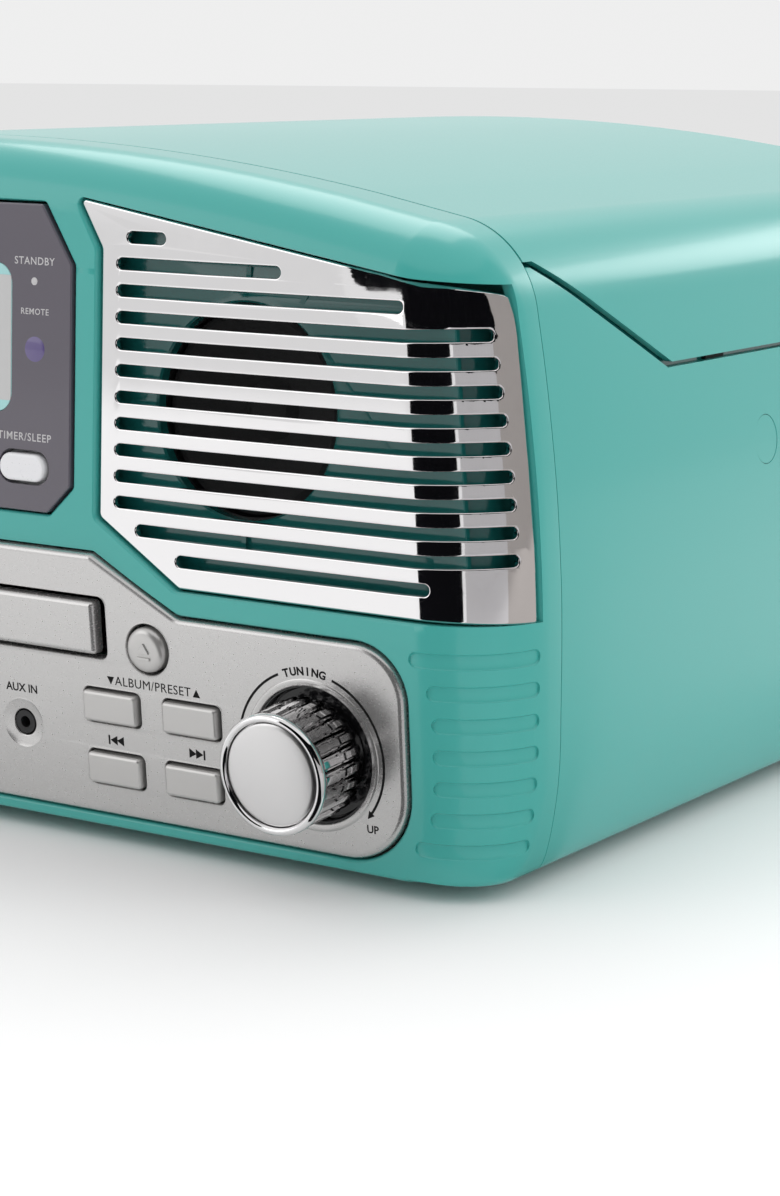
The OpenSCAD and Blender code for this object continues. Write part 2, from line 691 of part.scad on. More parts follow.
// ---- Lid and hinges ----
module lid() {
  color(teal) in_body() difference() {
    xz(parting_y + lid_front_gap, body_d) polygon(outline(0));
    xz(parting_y - 2, body_d - lid_wall) polygon(outline(lid_wall));
    yz(-250, 250) translate([lid_back, lid_gap])
      polygon([[parting_y - 5, 170.4], each split, [body_d + 10, -20], [parting_y - 5, -20]]);
  }
}
hinge_x = [-120, 120];
module hinge_barrel(x0, x1) { translate([x0, hinge_y, hinge_z]) rotate([0, 90, 0]) cylinder(r = hinge_r, h = x1 - x0); }
module hinge_leaves_fixed() {
  color(silver) in_body() for (x = hinge_x) difference() {
    union() {
      hinge_barrel(x - 20, x - 7);
      hinge_barrel(x + 7, x + 20);
      for (s = [-13.5, 13.5]) box([x + s - 6.5, body_d + 0.1, 116], [x + s + 6.5, body_d + 1.5, hinge_z - 0.3]);
      box([x - 20, body_d + 0.1, 116], [x + 20, body_d + 1.5, 128]);
    }
    hinge_pin_room(x, 1.56);
  }
}
module hinge_pin_room(x, r) { translate([x - 30, hinge_y, hinge_z]) rotate([0, 90, 0]) cylinder(r = r, h = 60); }
module hinge_leaves_lid() {
  color(silver) in_body() for (x = hinge_x) {
    hinge_barrel(x - 6.7, x + 6.7);
    translate([x - 20, hinge_y, hinge_z]) rotate([0, 90, 0]) cylinder(r = 1.5, h = 40);
    box([x - 6.7, body_d + 0.1, hinge_z + 0.3], [x + 6.7, body_d + 1.5, 160]);
    box([x - 20, body_d + 0.1, 148], [x + 20, body_d + 1.5, 160]);
  }
}
module lid_bumpers() {
  color(black) both_sides() in_body() for (y = [130, 300]) box([199, y, 137.4], [200.8, y + 12, 137.1 + lid_gap]);
}

front_moulding();
cabinet_shell();
bottom_plate();
rear_panel();
rubber_feet();
side_plugs();
grille_right();
grille_left();
speaker_frames();
speaker_cones();
display_panel();
lcd_window();
control_panel();
control_backing();
control_board();
potentiometers();
front_jacks();
line_out_jacks();
power_inlet();
cd_mechanism();
main_board();
power_transformer();
deck_plate();
motor();
spindle_bearing();
drive_belt();
arm_base();
arm_rest();
hinge_leaves_fixed();
lid_bumpers();
lid();
hinge_leaves_lid();
platter();
slip_mat();
motor_pulley();
arm_yoke();
tonearm();
counterweight();
cartridge();
cue_bar();
cue_lever();
speed_lever();
auto_stop_lever();
adapter_45();
cd_tray();
cd_door();
eject_button();
play_button();
preset_down_button();
preset_up_button();
skip_back_button();
skip_forward_button();
function_button();
band_button();
program_button();
stop_button();
timer_button();
mode_button();
tuning_knob();
volume_knob();
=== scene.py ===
import math

import bmesh
import bpy
import numpy as np
from mathutils import Matrix, Vector
from mathutils.geometry import tessellate_polygon


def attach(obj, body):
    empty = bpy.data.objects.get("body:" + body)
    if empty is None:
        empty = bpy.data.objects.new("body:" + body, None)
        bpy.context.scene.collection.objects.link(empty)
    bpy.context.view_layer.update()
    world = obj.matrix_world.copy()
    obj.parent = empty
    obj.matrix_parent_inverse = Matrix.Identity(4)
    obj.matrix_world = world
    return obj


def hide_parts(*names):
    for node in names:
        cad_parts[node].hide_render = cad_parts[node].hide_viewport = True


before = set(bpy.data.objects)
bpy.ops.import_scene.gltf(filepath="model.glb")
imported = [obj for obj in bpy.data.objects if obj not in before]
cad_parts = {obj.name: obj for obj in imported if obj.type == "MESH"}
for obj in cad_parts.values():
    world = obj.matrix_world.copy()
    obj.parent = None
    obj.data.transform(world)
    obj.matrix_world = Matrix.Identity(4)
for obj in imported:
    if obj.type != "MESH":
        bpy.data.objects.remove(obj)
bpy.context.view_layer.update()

# ---- measures in millimetres: the CAD's, but for a finer front corner
FRONT_Y, FOOT = -165.84466, 5.0  # the body frame's origin in the row frame
WAIST_Z, LEAN_LOW, LEAN_UP = 70.0, math.radians(5), math.radians(1.8)
WAIST_Y = -WAIST_Z * math.tan(LEAN_LOW)
SIDE_X, CORNER_R, CROWN_R, TOP_Z = 208.8, 12.0, 845.6, 202.0
SHOULDER = (169.6, 154.2, 30.0)  # its arc's centre in x and z, and its radius
# the lower corner, in from SIDE_X and up from the bottom, and the bulging side above it in x and z
CORNER = [(8.6, 0), (6.8, 0.4), (5.4, 1.6), (4.2, 4), (2.9, 8.4), (1.5, 15.5), (0.1, 26)]
SIDE = [(209.1, 52), (209.05, 61), (208.9, 70), (208.6, 80), (207.9, 92), (206.5, 109), (204.2, 128), (202, 143)]
FACE_R, TOP_R, BOTTOM_R = 25.5, 18.0, 1.2
WALL, LID_WALL, PARTING, DEPTH = 3.0, 2.6, 31.0, 350.0
LID_GAP, LID_BACK, LID_FRONT = 1.5, 2.8, 0.6
LID_LINE = [(31, 170.4), (33.5, 170.4), (102, 137.4), (360, 137.4)]
DECK_Z, ARM_Z, ARM_LENGTH = 136.0, 166.0, 215.0
SPINDLE, PIVOT = (-46, 191), (135, 290)
KNOB_X, KNOB_Z, KNOB_R, KNOB_OUT, WELL_R, FLUTES = 148.6, 33.2, 18.1, 22.0, 20.2, 24
JACK, JACK_R, ROUND_BUTTON, ROUND_R = (43.1, 28.5), 4.2, (92, 57.2), 6.8
BUTTONS = [(77.8, 37.9), (106.9, 37.9), (78.2, 18.8), (106.7, 18.8)]
BUTTON_W, BUTTON_H = 19.6, 9.4
DOOR_W, DOOR_Z, SLOT = 147.0, (53.4, 69.6), (154.0, 52.3, 71.0)  # SLOT is the door opening's width, low z and high z
PILL_AT, PILL = (46.1, 106.7), (17.0, 8.2)
LCD_W, LCD_Z = 82.4, (122.3, 166.6)
SPEAKER, SPEAKER_R = (120.5, 128), 31.0
GRILLE_Y, GRILLE_T, GRILLE_END, GRILLE_GAP = 1.6, 1.8, 20.2, 0.6
WRAP_R = FACE_R - GRILLE_Y
CREASE = ((182.8, 75.9), (174.3, 167.8))
CREASE_TILT = math.atan((CREASE[0][0] - CREASE[1][0]) / (CREASE[1][1] - CREASE[0][1]))
K = 4  # how much finer the outlines are than the CAD's
SIDES = ((1, "right"), (-1, "left"))


# ---- frames: millimetres in, row frame metres out
def in_body(p):
    p = np.asarray(p, float)
    return (p + (0, FRONT_Y, FOOT)) / 1000


def leaning(angle):
    c, s = math.cos(angle), math.sin(angle)

    def to_row(p):
        p = np.asarray(p, float)
        y, z = p[:, 1], p[:, 2] - WAIST_Z
        return in_body(np.c_[p[:, 0], y * c - z * s + WAIST_Y, y * s + z * c + WAIST_Z])

    return to_row


in_lower, in_upper = leaning(LEAN_LOW), leaning(-LEAN_UP)


# ---- flat outlines, counter-clockwise
def arc(cx, cz, r, a0, a1, n):
    a = np.radians(np.linspace(a0, a1, n + 1))
    return np.c_[cx + r * np.cos(a), cz + r * np.sin(a)]


def circle(at, r, n=64):
    return arc(at[0], at[1], r, 0, 360, n)[:-1]


def offset(p, d):
    """The outline moved outward by d."""
    e = np.roll(p, -1, 0) - p
    e /= np.linalg.norm(e, axis=1)[:, None]
    n = np.c_[e[:, 1], -e[:, 0]]
    m = n + np.roll(n, 1, 0)
    return p + d * m / (1 + (n * np.roll(n, 1, 0)).sum(1))[:, None]


def rounded(points, r, n=6):
    """The outline with its corners rounded, r being one radius or one for each corner."""
    pts = [np.array(p, float) for p in points]
    radii = r if hasattr(r, "__len__") else [r] * len(pts)
    out = []
    for i, p in enumerate(pts):
        if not radii[i]:
            out.append(p)
            continue
        a, b = pts[i - 1] - p, pts[(i + 1) % len(pts)] - p
        la, lb = np.linalg.norm(a), np.linalg.norm(b)
        a, b = a / la, b / lb
        half = math.acos(np.clip(a @ b, -1, 1)) / 2
        d = min(radii[i] / math.tan(half), la * 0.49, lb * 0.49)
        rr = d * math.tan(half)
        c = p + (a + b) / np.linalg.norm(a + b) * rr / math.sin(half)
        s, e = p + a * d - c, p + b * d - c
        a0 = math.atan2(s[1], s[0])
        turn = (math.atan2(e[1], e[0]) - a0 + math.pi) % (2 * math.pi) - math.pi
        out += [c + rr * np.array((math.cos(a0 + turn * t), math.sin(a0 + turn * t)))
                for t in np.linspace(0, 1, n + 1)]
    return np.array(out)


def bar(cx, cz, w, h, r, n=6):
    x, z = w / 2, h / 2
    return rounded([(cx - x, cz - z), (cx + x, cz - z), (cx + x, cz + z), (cx - x, cz + z)],
                   min(r, x * 0.98, z * 0.98), n)


def mirrored(p):
    return np.array([(-x, z) for x, z in p])[::-1]


def both(points):
    return list(points) + [(-x, z) for x, z in reversed(list(points))]


def display_outline(g):
    """g is how far the outline is grown, here and in the two below."""
    return rounded(both([(55 + g / 2, 93.8 - g), (63.5 + g, 102.3 - g / 2), (63.5 + g, 166.8), (52.4 + g, 184 + g)]),
                   1.6)


def panel_outline(g):
    return rounded(both([(179.8 + g, 4 - g), (179.8 + g, 67.5 + g), (102.7, 67.5 + g), (72.2, 83.5 + g)]),
                   [21 + g, 16 + g, 6, 3, 3, 6, 16 + g, 21 + g], 12)


def grille_outline(g):
    return rounded([(102.1 - g / 2, 75.9 - g), (240, 75.9 - g), (240, 163.9 + g), (176, 168.3 + g), (168, 169.6 + g),
                    (64.2 - g, 186.3 + g), (72.8 - g, 172.1), (72.8 - g, 94.3 - g / 2)],
                   [4, .5, .5, 60, 60, 1.5, 4, 3])


# ---- the body's outline, and its turned front edge
def smooth(points, n):
    """A smooth curve through the points, n steps from each to the next."""
    p = np.array(points, float)
    d = np.linalg.norm(np.diff(p, axis=0), axis=1)[:, None]
    v = np.diff(p, axis=0) / d
    m = np.vstack([v[:1], (v[1:] * d[:-1] + v[:-1] * d[1:]) / (d[1:] + d[:-1]), v[-1:]])
    t = np.arange(n)[:, None] / n
    out = [(2 * t ** 3 - 3 * t ** 2 + 1) * p[i] + (t ** 3 - 2 * t ** 2 + t) * d[i] * m[i]
           + (3 * t ** 2 - 2 * t ** 3) * p[i + 1] + (t ** 3 - t ** 2) * d[i] * m[i + 1] for i in range(len(d))]
    return np.vstack([*out, p[-1:]])


def half_outline(tx, tz, tb, rb, rt):
    crown = np.radians(80 + 2 * np.arange(5 * K + 1) / K)
    shoulder = arc(SHOULDER[0] + SHOULDER[2] - tx - rt, SHOULDER[1] + SHOULDER[2] - tz - rt, rt, 8, 78, 8 * K)
    side = ([(SIDE_X - tx - u * rb / CORNER_R, tb + v * rb / CORNER_R) for u, v in CORNER]
            + [(x - tx, z) for x, z in SIDE])
    half = np.vstack([
        [(178, tb)], smooth([*side, shoulder[0]], K), shoulder[1:],
        np.c_[(CROWN_R - tz) * np.cos(crown), TOP_Z - CROWN_R + (CROWN_R - tz) * np.sin(crown)]])
    half[-1, 0] = 0
    return half


BEND = np.concatenate([
    [BOTTOM_R], np.interp(np.arange(15 * K + 1) / K, range(7), [17, 17.5, 18, 19.5, 21.5, 23.5, FACE_R]),
    np.linspace(FACE_R, TOP_R, 8 * K + 1)[1:], np.full(5 * K + 1, TOP_R)])


def whole(half):
    """The half outline joined to its mirrored half."""
    other = half[-2::-1].copy()
    other[:, 0] *= -1
    return np.vstack([half, other])


def outline(t):
    return whole(half_outline(t, t, t, CORNER_R - t, SHOULDER[2] - t))


def lean(z):
    """How far back the front face lies at height z."""
    return np.where(z < WAIST_Z, -z * math.tan(LEAN_LOW), WAIST_Y + (z - WAIST_Z) * math.tan(LEAN_UP))


def ring(turn, skin, back=None):
    """A ring round the front moulding, skin inside it; turn is 0 at the face and a quarter turn at the side."""
    s, k = 1 - math.sin(turn), (FACE_R - skin) / FACE_R
    half = half_outline(skin + s * FACE_R * k, skin + s * TOP_R * k, skin + s * BOTTOM_R * k,
                        CORNER_R - skin + (2 - CORNER_R + skin) * s,
                        SHOULDER[2] - skin + (2 - SHOULDER[2] + skin) * s)
    depth = np.full(len(half), float(back)) if back else skin + BEND * k * (1 - math.cos(turn))
    y = depth + lean(half[:, 1]) * np.clip(1 - depth / PARTING, 0, None)
    return whole(np.c_[half[:, 0], y, half[:, 1]])


# ---- mesh making: each returns (points, faces)
def loft(rings, caps=True, closed=False):
    n, m = len(rings[0]), len(rings)
    faces = [(k * n + i, k * n + (i + 1) % n, (k + 1) % m * n + (i + 1) % n, (k + 1) % m * n + i)
             for k in range(m if closed else m - 1) for i in range(n)]
    if caps and not closed:
        faces += [tuple(range(n))[::-1], tuple(range((m - 1) * n, m * n))]
    return np.vstack(rings), faces


def skin_form(skin, ends, steps):
    """The front moulding's filled outer or inner form; ends is [(skin, depth), ...] for its last rings."""
    rings = ([ring(t, skin) for t in np.radians(np.linspace(0, 90, steps + 1))]
             + [ring(math.pi / 2, s, d) for s, d in ends])
    points, faces = loft(rings, caps=False)
    n, last = len(rings[0]), (len(rings) - 1) * len(rings[0])
    top = (n - 1) // 2
    strips = [(0, 1, 2, n - 3, n - 2, n - 1), *[(i, i + 1, n - 2 - i, n - 1 - i) for i in range(2, top - 1)],
              (top - 1, top, top + 1)]
    return points, faces + [s[::-1] for s in strips] + [tuple(v + last for v in s) for s in strips]


def plate(outer, holes, edge, hole_edge=None):
    """A plate in x and z. An edge is [(inset, depth), ...] front to back; a hole is an outline or (outline, edge)."""
    loops = [(outer, edge, -1)] + [(h[0], h[1], 1) if isinstance(h, tuple) else (h, hole_edge, 1) for h in holes]
    points, faces, fronts, backs = [], [], [], []
    for p, profile, sign in loops:
        start, n = len(points), len(p)
        for inset, depth in profile:
            points += [(x, depth, z) for x, z in (offset(p, sign * inset) if inset else p)]
        for k in range(len(profile) - 1):
            faces += [(start + k * n + i, start + k * n + (i + 1) % n, start + (k + 1) * n + (i + 1) % n,
                       start + (k + 1) * n + i)
                      for i in range(n)]
        fronts.append(range(start, start + n))
        backs.append(range(start + (len(profile) - 1) * n, start + len(profile) * n))
    for group in (fronts, backs):
        index = [i for g in group for i in g]
        faces += [tuple(index[j] for j in t)
                  for t in tessellate_polygon([[Vector((points[i][0], points[i][2], 0)) for i in g] for g in group])]
    return np.array(points), faces


def fillet(r, y0, y1, back=0.0):
    """An edge profile: rounded by r at the front depth y0, and by back at the back depth y1."""
    quarter = np.linspace(0, math.pi / 2, 5)
    front = [(r * (1 - math.cos(a)), y0 + r * (1 - math.sin(a))) for a in quarter[::-1]] if r else [(0, y0)]
    rear = [(back * (1 - math.cos(a)), y1 - back * (1 - math.sin(a))) for a in quarter] if back else [(0, y1)]
    return front + rear


def turned(profile, n=72, closed=False):
    """A form turned about the y axis; profile is [(radius, depth), ...]."""
    a = np.linspace(0, 2 * math.pi, n, endpoint=False)
    return loft([np.c_[r * np.cos(a), np.full(n, float(y)), r * np.sin(a)] for r, y in profile], closed=closed)


def moved(shape, by):
    return shape[0] + np.array(by, float), shape[1]


def upright(shape, at=(0, 0, 0)):
    """A form made about the y axis, stood along z: its depth becomes its height."""
    p = shape[0]
    return np.c_[p[:, 0], -p[:, 2], p[:, 1]] + np.array(at, float), shape[1]


def along_x(shape):
    """A form made about the y axis, turned to lie along x."""
    return shape[0][:, [1, 0, 2]], shape[1]


def join(*shapes):
    points, faces, n = [], [], 0
    for p, f in shapes:
        points.append(p)
        faces += [tuple(v + n for v in face) for face in f]
        n += len(p)
    return np.vstack(points), faces


def flip_x(shape):
    return shape[0] * (-1, 1, 1), [f[::-1] for f in shape[1]]


def linked(name, data):
    obj = bpy.data.objects.new(name, data)
    bpy.context.scene.collection.objects.link(obj)
    return obj


def evaluated(obj):
    return bpy.data.meshes.new_from_object(obj.evaluated_get(bpy.context.evaluated_depsgraph_get()))


def letters(string, height, at, angle=0.0, bold=0.025, spread=1.0):
    """A word in plain capitals, standing on the x-z plane and centred on at; height is a capital's."""
    curve = bpy.data.curves.new("letters", "FONT")
    curve.body, curve.size, curve.space_character = string, height / 0.7, spread
    curve.align_x, curve.align_y, curve.resolution_u = "CENTER", "CENTER", 3
    curve.extrude, curve.offset = 0.02, height * bold
    obj = linked("letters", curve)
    me = evaluated(obj)
    c, s = math.cos(angle), math.sin(angle)
    points = np.array([(v.co.x * c - v.co.y * s + at[0], -v.co.z, v.co.x * s + v.co.y * c + at[1])
                       for v in me.vertices])
    faces = [tuple(p.vertices) for p in me.polygons]
    bpy.data.objects.remove(obj)
    bpy.data.curves.remove(curve)
    bpy.data.meshes.remove(me)
    return points, faces


def to_object(name, shape, place=in_body):
    me = bpy.data.meshes.new(name)
    me.from_pydata(place(shape[0]).tolist(), [], shape[1])
    bm = bmesh.new()
    bm.from_mesh(me)
    bmesh.ops.remove_doubles(bm, verts=bm.verts, dist=1e-7)
    bmesh.ops.recalc_face_normals(bm, faces=bm.faces)
    bm.to_mesh(me)
    bm.free()
    return linked(name, me)


def at_depth(p, y):
    return np.c_[p[:, 0], np.full(len(p), float(y)), p[:, 1]]


def cutter(shape, place=in_body):
    return to_object("cutter", shape, place)


def applied(obj):
    """The object's mesh with its modifiers applied; the modifiers are taken off."""
    bpy.context.view_layer.update()
    me = evaluated(obj)
    obj.modifiers.clear()
    return me


def cut(obj, *cutters, how="DIFFERENCE"):
    for c in cutters:
        m = obj.modifiers.new("cut", "BOOLEAN")
        m.operation, m.object, m.solver = how, c, "EXACT"
    obj.data = applied(obj)
    for c in cutters:
        bpy.data.objects.remove(c)
    return obj


def prism_x(points, x0, x1):
    """An outline in y and z, filled from x0 to x1."""
    return loft([np.array([(x, y, z) for y, z in points]) for x in (x0, x1)])


def prism_y(points, y0, y1):
    return loft([at_depth(points, y) for y in (y0, y1)])


def block(low, high):
    (a, b, c), (d, e, f) = low, high
    return prism_y(np.array([(a, c), (d, c), (d, f), (a, f)], float), b, e)


def part(obj, mat, body="cabinet", replaces=(), sharp=32, bevel=0.0):
    """Finishes a piece: bevel, smoothing, material, slot, the body it rides on and the CAD nodes it replaces."""
    if bevel:
        m = obj.modifiers.new("edges", "BEVEL")
        m.width, m.segments, m.limit_method, m.angle_limit = bevel / 1000, 2, "ANGLE", math.radians(sharp)
        m.use_clamp_overlap = True
        obj.data = applied(obj)
    obj.data.polygons.foreach_set("use_smooth", [True] * len(obj.data.polygons))
    obj.data.set_sharp_from_angle(angle=math.radians(sharp))
    w = obj.modifiers.new("normals", "WEIGHTED_NORMAL")
    w.keep_sharp, w.weight = True, 100
    obj.data = applied(obj)
    obj.data.materials.clear()
    obj.data.materials.append(mat)
    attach(obj, body)
    if replaces:
        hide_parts(*replaces)
    return obj


def piece(name, shape, mat, place=in_body, **how):
    return part(to_object(name, shape, place), mat, **how)


# ---- materials
GRAIN_IN_COLOUR = 0.4  # the grain's share in the colour, beside the patches
NOISE_SPAN = 0.3, 0.7  # where most of a noise's values lie


def put(node, **values):
    """Sets a node's inputs; an underscore stands for a space."""
    for name, value in values.items():
        node.inputs[name.replace("_", " ")].default_value = value


def material(name, slot, colour, rough=(0.3, 0.4), metallic=0.0, tint=0.04, broad=14.0, fine=600.0, stretch=(1, 1, 1),
             bump=0.1, depth=0.02, coat=0.0, coat_rough=0.06, specular=0.5):
    """Broad patches and a fine grain, which sets the roughness and the bump, depth millimetres deep."""
    m = bpy.data.materials.new(name)
    m.use_nodes = True
    m["slot"] = slot
    nodes, links = m.node_tree.nodes, m.node_tree.links
    shader = nodes["Principled BSDF"]
    coord = nodes.new("ShaderNodeTexCoord")

    def noise(scale, detail, squash=(1, 1, 1)):
        mapping = nodes.new("ShaderNodeMapping")
        put(mapping, Scale=squash)
        tex = nodes.new("ShaderNodeTexNoise")
        put(tex, Scale=scale, Detail=detail)
        links.new(coord.outputs["Object"], mapping.inputs["Vector"])
        links.new(mapping.outputs["Vector"], tex.inputs["Vector"])
        return tex.outputs["Fac"]

    patches, grain = noise(broad, 4), noise(fine, 5, stretch)
    mix = nodes.new("ShaderNodeMix")
    mix.data_type = "RGBA"
    blend = nodes.new("ShaderNodeMath")
    blend.operation = "MULTIPLY_ADD"
    links.new(grain, blend.inputs[0])
    blend.inputs[1].default_value = GRAIN_IN_COLOUR
    links.new(patches, blend.inputs[2])
    links.new(blend.outputs[0], mix.inputs["Factor"])
    put(mix, A=[c * (1 - tint) for c in colour] + [1], B=[min(1, c * (1 + tint)) for c in colour] + [1])
    links.new(mix.outputs["Result"], shader.inputs["Base Color"])
    spread = nodes.new("ShaderNodeMapRange")
    put(spread, From_Min=NOISE_SPAN[0], From_Max=NOISE_SPAN[1], To_Min=rough[0], To_Max=rough[1])
    links.new(grain, spread.inputs["Value"])
    links.new(spread.outputs["Result"], shader.inputs["Roughness"])
    bumped = nodes.new("ShaderNodeBump")
    put(bumped, Strength=bump, Distance=depth / 1000)
    links.new(grain, bumped.inputs["Height"])
    links.new(bumped.outputs["Normal"], shader.inputs["Normal"])
    put(shader, Metallic=metallic, Coat_Weight=coat, Coat_Roughness=coat_rough, Specular_IOR_Level=specular)
    return m


TEAL = material("teal_lacquer", "teal_shell", (0.05, 0.37, 0.335), rough=(0.28, 0.31), tint=0.012, fine=1600,
                bump=0.03, depth=0.03, coat=0.3, coat_rough=0.12)
CHROME = material("chrome_plate", "chrome_trim", (0.82, 0.81, 0.815), rough=(0.035, 0.075), metallic=1.0, tint=0.02,
                  fine=220, bump=0.03, depth=0.08)
SATIN = material("satin_cap", "chrome_trim", (0.74, 0.73, 0.73), rough=(0.28, 0.31), metallic=1.0, tint=0.01,
                 fine=1500, bump=0.01)
SILVER = material("silver_paint", "silver_panel", (0.58, 0.57, 0.565), rough=(0.24, 0.28), metallic=0.8, tint=0.02,
                  broad=9, fine=1500, stretch=(0.5, 1, 1), bump=0.01, depth=0.01)
KEYS = material("silver_keys", "silver_buttons", (0.57, 0.56, 0.55), rough=(0.28, 0.33), metallic=0.7, tint=0.02,
                fine=1600, bump=0.02)
WHITE_KEY = material("pearl_keys", "silver_buttons", (0.76, 0.76, 0.78), rough=(0.27, 0.3), metallic=0.1, tint=0.01,
                     fine=1600, bump=0.01)
BLACK = material("black_plastic", "black_plastic", (0.012, 0.012, 0.013), rough=(0.42, 0.58), fine=2400, bump=0.25,
                 depth=0.08)
GLOSS_BLACK = material("black_gloss", "black_plastic", (0.008, 0.008, 0.009), rough=(0.1, 0.18), fine=900, bump=0.04,
                       depth=0.04)
RUBBER = material("rubber", "rubber", (0.014, 0.014, 0.014), rough=(0.62, 0.8), fine=1800, bump=0.35, depth=0.1)
CONE = material("pressed_paper", "speaker_paper", (0.016, 0.016, 0.017), rough=(0.7, 0.85), fine=2600, bump=0.5,
                depth=0.15)
FASCIA = material("smoked_fascia", "dark_gloss", (0.088, 0.078, 0.1), rough=(0.12, 0.2), tint=0.03, fine=1300,
                  bump=0.03, depth=0.03, coat=0.6, coat_rough=0.05)
LCD_FRAME = material("lcd_surround", "lcd", (0.34, 0.62, 0.62), rough=(0.16, 0.24), tint=0.02, fine=1200, bump=0.02,
                     coat=0.5)
LCD_GREY = material("lcd_cells", "lcd", (0.5, 0.5, 0.5), rough=(0.18, 0.26), tint=0.03, fine=3200, bump=0.03,
                    coat=0.5)
LCD_INK = material("lcd_digits", "lcd", (0.2, 0.21, 0.21), rough=(0.3, 0.36), tint=0.02, fine=2000, bump=0.02)
PRINT = material("black_print", "black_plastic", (0.008, 0.008, 0.008), rough=(0.5, 0.6), fine=3000, specular=0.1)
PALE_PRINT = material("grey_print", "silver_buttons", (0.5, 0.49, 0.5), rough=(0.4, 0.5), fine=3000)
# a darker copy of the teal lacquer: painted shade for parts that sit in shadow, the baffles behind the grilles and
# the upstand under the lid
TEAL_PAINTED_SHADE = material("teal_painted_shade", "teal_shell", (0.012, 0.15, 0.14), rough=(0.14, 0.2), tint=0.03, fine=1600,
                       bump=0.03, depth=0.03, coat=0.4, coat_rough=0.08)
VIOLET = material("sensor_lens", "dark_gloss", (0.1, 0.075, 0.2), rough=(0.1, 0.16), fine=900, bump=0.02, coat=0.5)
BOARD = material("solder_mask", "circuit_board", (0.02, 0.12, 0.05), rough=(0.25, 0.4), tint=0.25, broad=160,
                 fine=1400, bump=0.2, depth=0.08)
STEEL = material("plated_steel", "steel", (0.52, 0.52, 0.53), rough=(0.25, 0.4), metallic=1.0, fine=900,
                 stretch=(0.08, 1, 1), depth=0.04)
ALLOY = material("anodised_alloy", "alloy", (0.68, 0.68, 0.69), rough=(0.2, 0.32), metallic=1.0, fine=1200,
                 stretch=(1, 0.08, 1), bump=0.08, depth=0.03)
PLATTER = material("platter_moulding", "platter_black", (0.014, 0.014, 0.015), rough=(0.25, 0.38), fine=1300,
                   bump=0.12, depth=0.05)
FELT = material("felt_mat", "rubber", (0.03, 0.03, 0.032), rough=(0.85, 0.98), fine=3500, bump=0.7, depth=0.2)
BRASS = material("turned_brass", "brass", (0.62, 0.42, 0.15), rough=(0.18, 0.3), metallic=1.0, fine=1500,
                 stretch=(1, 1, 0.1), depth=0.03)

NODE_MATERIALS = {
    TEAL: "front_moulding cabinet_shell side_plugs deck_plate lid",
    BLACK: "bottom_plate rear_panel speaker_frames control_backing front_jacks power_inlet arm_base arm_rest cd_tray "
           "speed_lever auto_stop_lever cartridge",
    RUBBER: "rubber_feet lid_bumpers drive_belt",
    FELT: "slip_mat",
    CHROME: "grille_right grille_left tuning_knob volume_knob",
    CONE: "speaker_cones",
    FASCIA: "display_panel",
    LCD_FRAME: "lcd_window",
    SILVER: "control_panel cd_door",
    KEYS: "eject_button play_button preset_down_button preset_up_button skip_back_button skip_forward_button "
          "function_button band_button program_button stop_button",
    WHITE_KEY: "timer_button mode_button",
    BOARD: "control_board main_board",
    STEEL: "potentiometers line_out_jacks cd_mechanism power_transformer motor spindle_bearing hinge_leaves_fixed "
           "hinge_leaves_lid counterweight",
    ALLOY: "arm_yoke tonearm cue_bar cue_lever adapter_45",
    PLATTER: "platter",
    BRASS: "motor_pulley",
}
for mat, names in NODE_MATERIALS.items():
    for name in names.split():
        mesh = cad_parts[name].data
        mesh.materials.clear()
        mesh.materials.append(mat)
        mesh.polygons.foreach_set("material_index", [0] * len(mesh.polygons))


# ---- front moulding
OPEN_FLARE = [(1.5, -30), (1.5, -0.6), (1.1, -0.16), (0.75, 0.02), (0.45, 0.22), (0.2, 0.5), (0.05, 0.85), (0, 1.3)]


def opening(outer, depth, place=in_upper):
    """A cutter whose mouth widens, so that the edge it leaves is rounded."""
    rings = [(offset(outer, g) if g else outer, y) for g, y in OPEN_FLARE] + [(outer, depth)]
    return cutter(loft([at_depth(r, y) for r, y in rings]), place)


def grille_cutter(side):
    outer = grille_outline(GRILLE_GAP)
    reach = block((-260, -60, 40), (260, GRILLE_END + GRILLE_GAP, 205))
    return cut(opening(outer if side > 0 else mirrored(outer), 40), cutter(reach), how="INTERSECT")


def surface_path(z, end_y):
    """The moulding's surface at height z, face to side: its x and y, the length to each, and the length to end_y."""
    line = []
    for t in np.radians(np.linspace(0, 90, 31)):
        side = ring(t, 0)[1:14 * K]
        line.append((np.interp(z, side[:, 2], side[:, 0]), np.interp(z, side[:, 2], side[:, 1])))
    line = np.array([(line[0][0] - d, line[0][1]) for d in (30, 22, 15, 9, 4)] + line)
    step = np.r_[0, np.cumsum(np.linalg.norm(np.diff(line, axis=0), axis=1))]
    stop = np.interp(end_y, line[:, 1], step)
    return line, step, stop


RIB_COUNT, RIB_TOP, RIB_PITCH, RIB_HALF = 7, 65.1, 9.1, 2.4
RIB_LEFT, RIB_END = 190.4, PARTING - 11.4


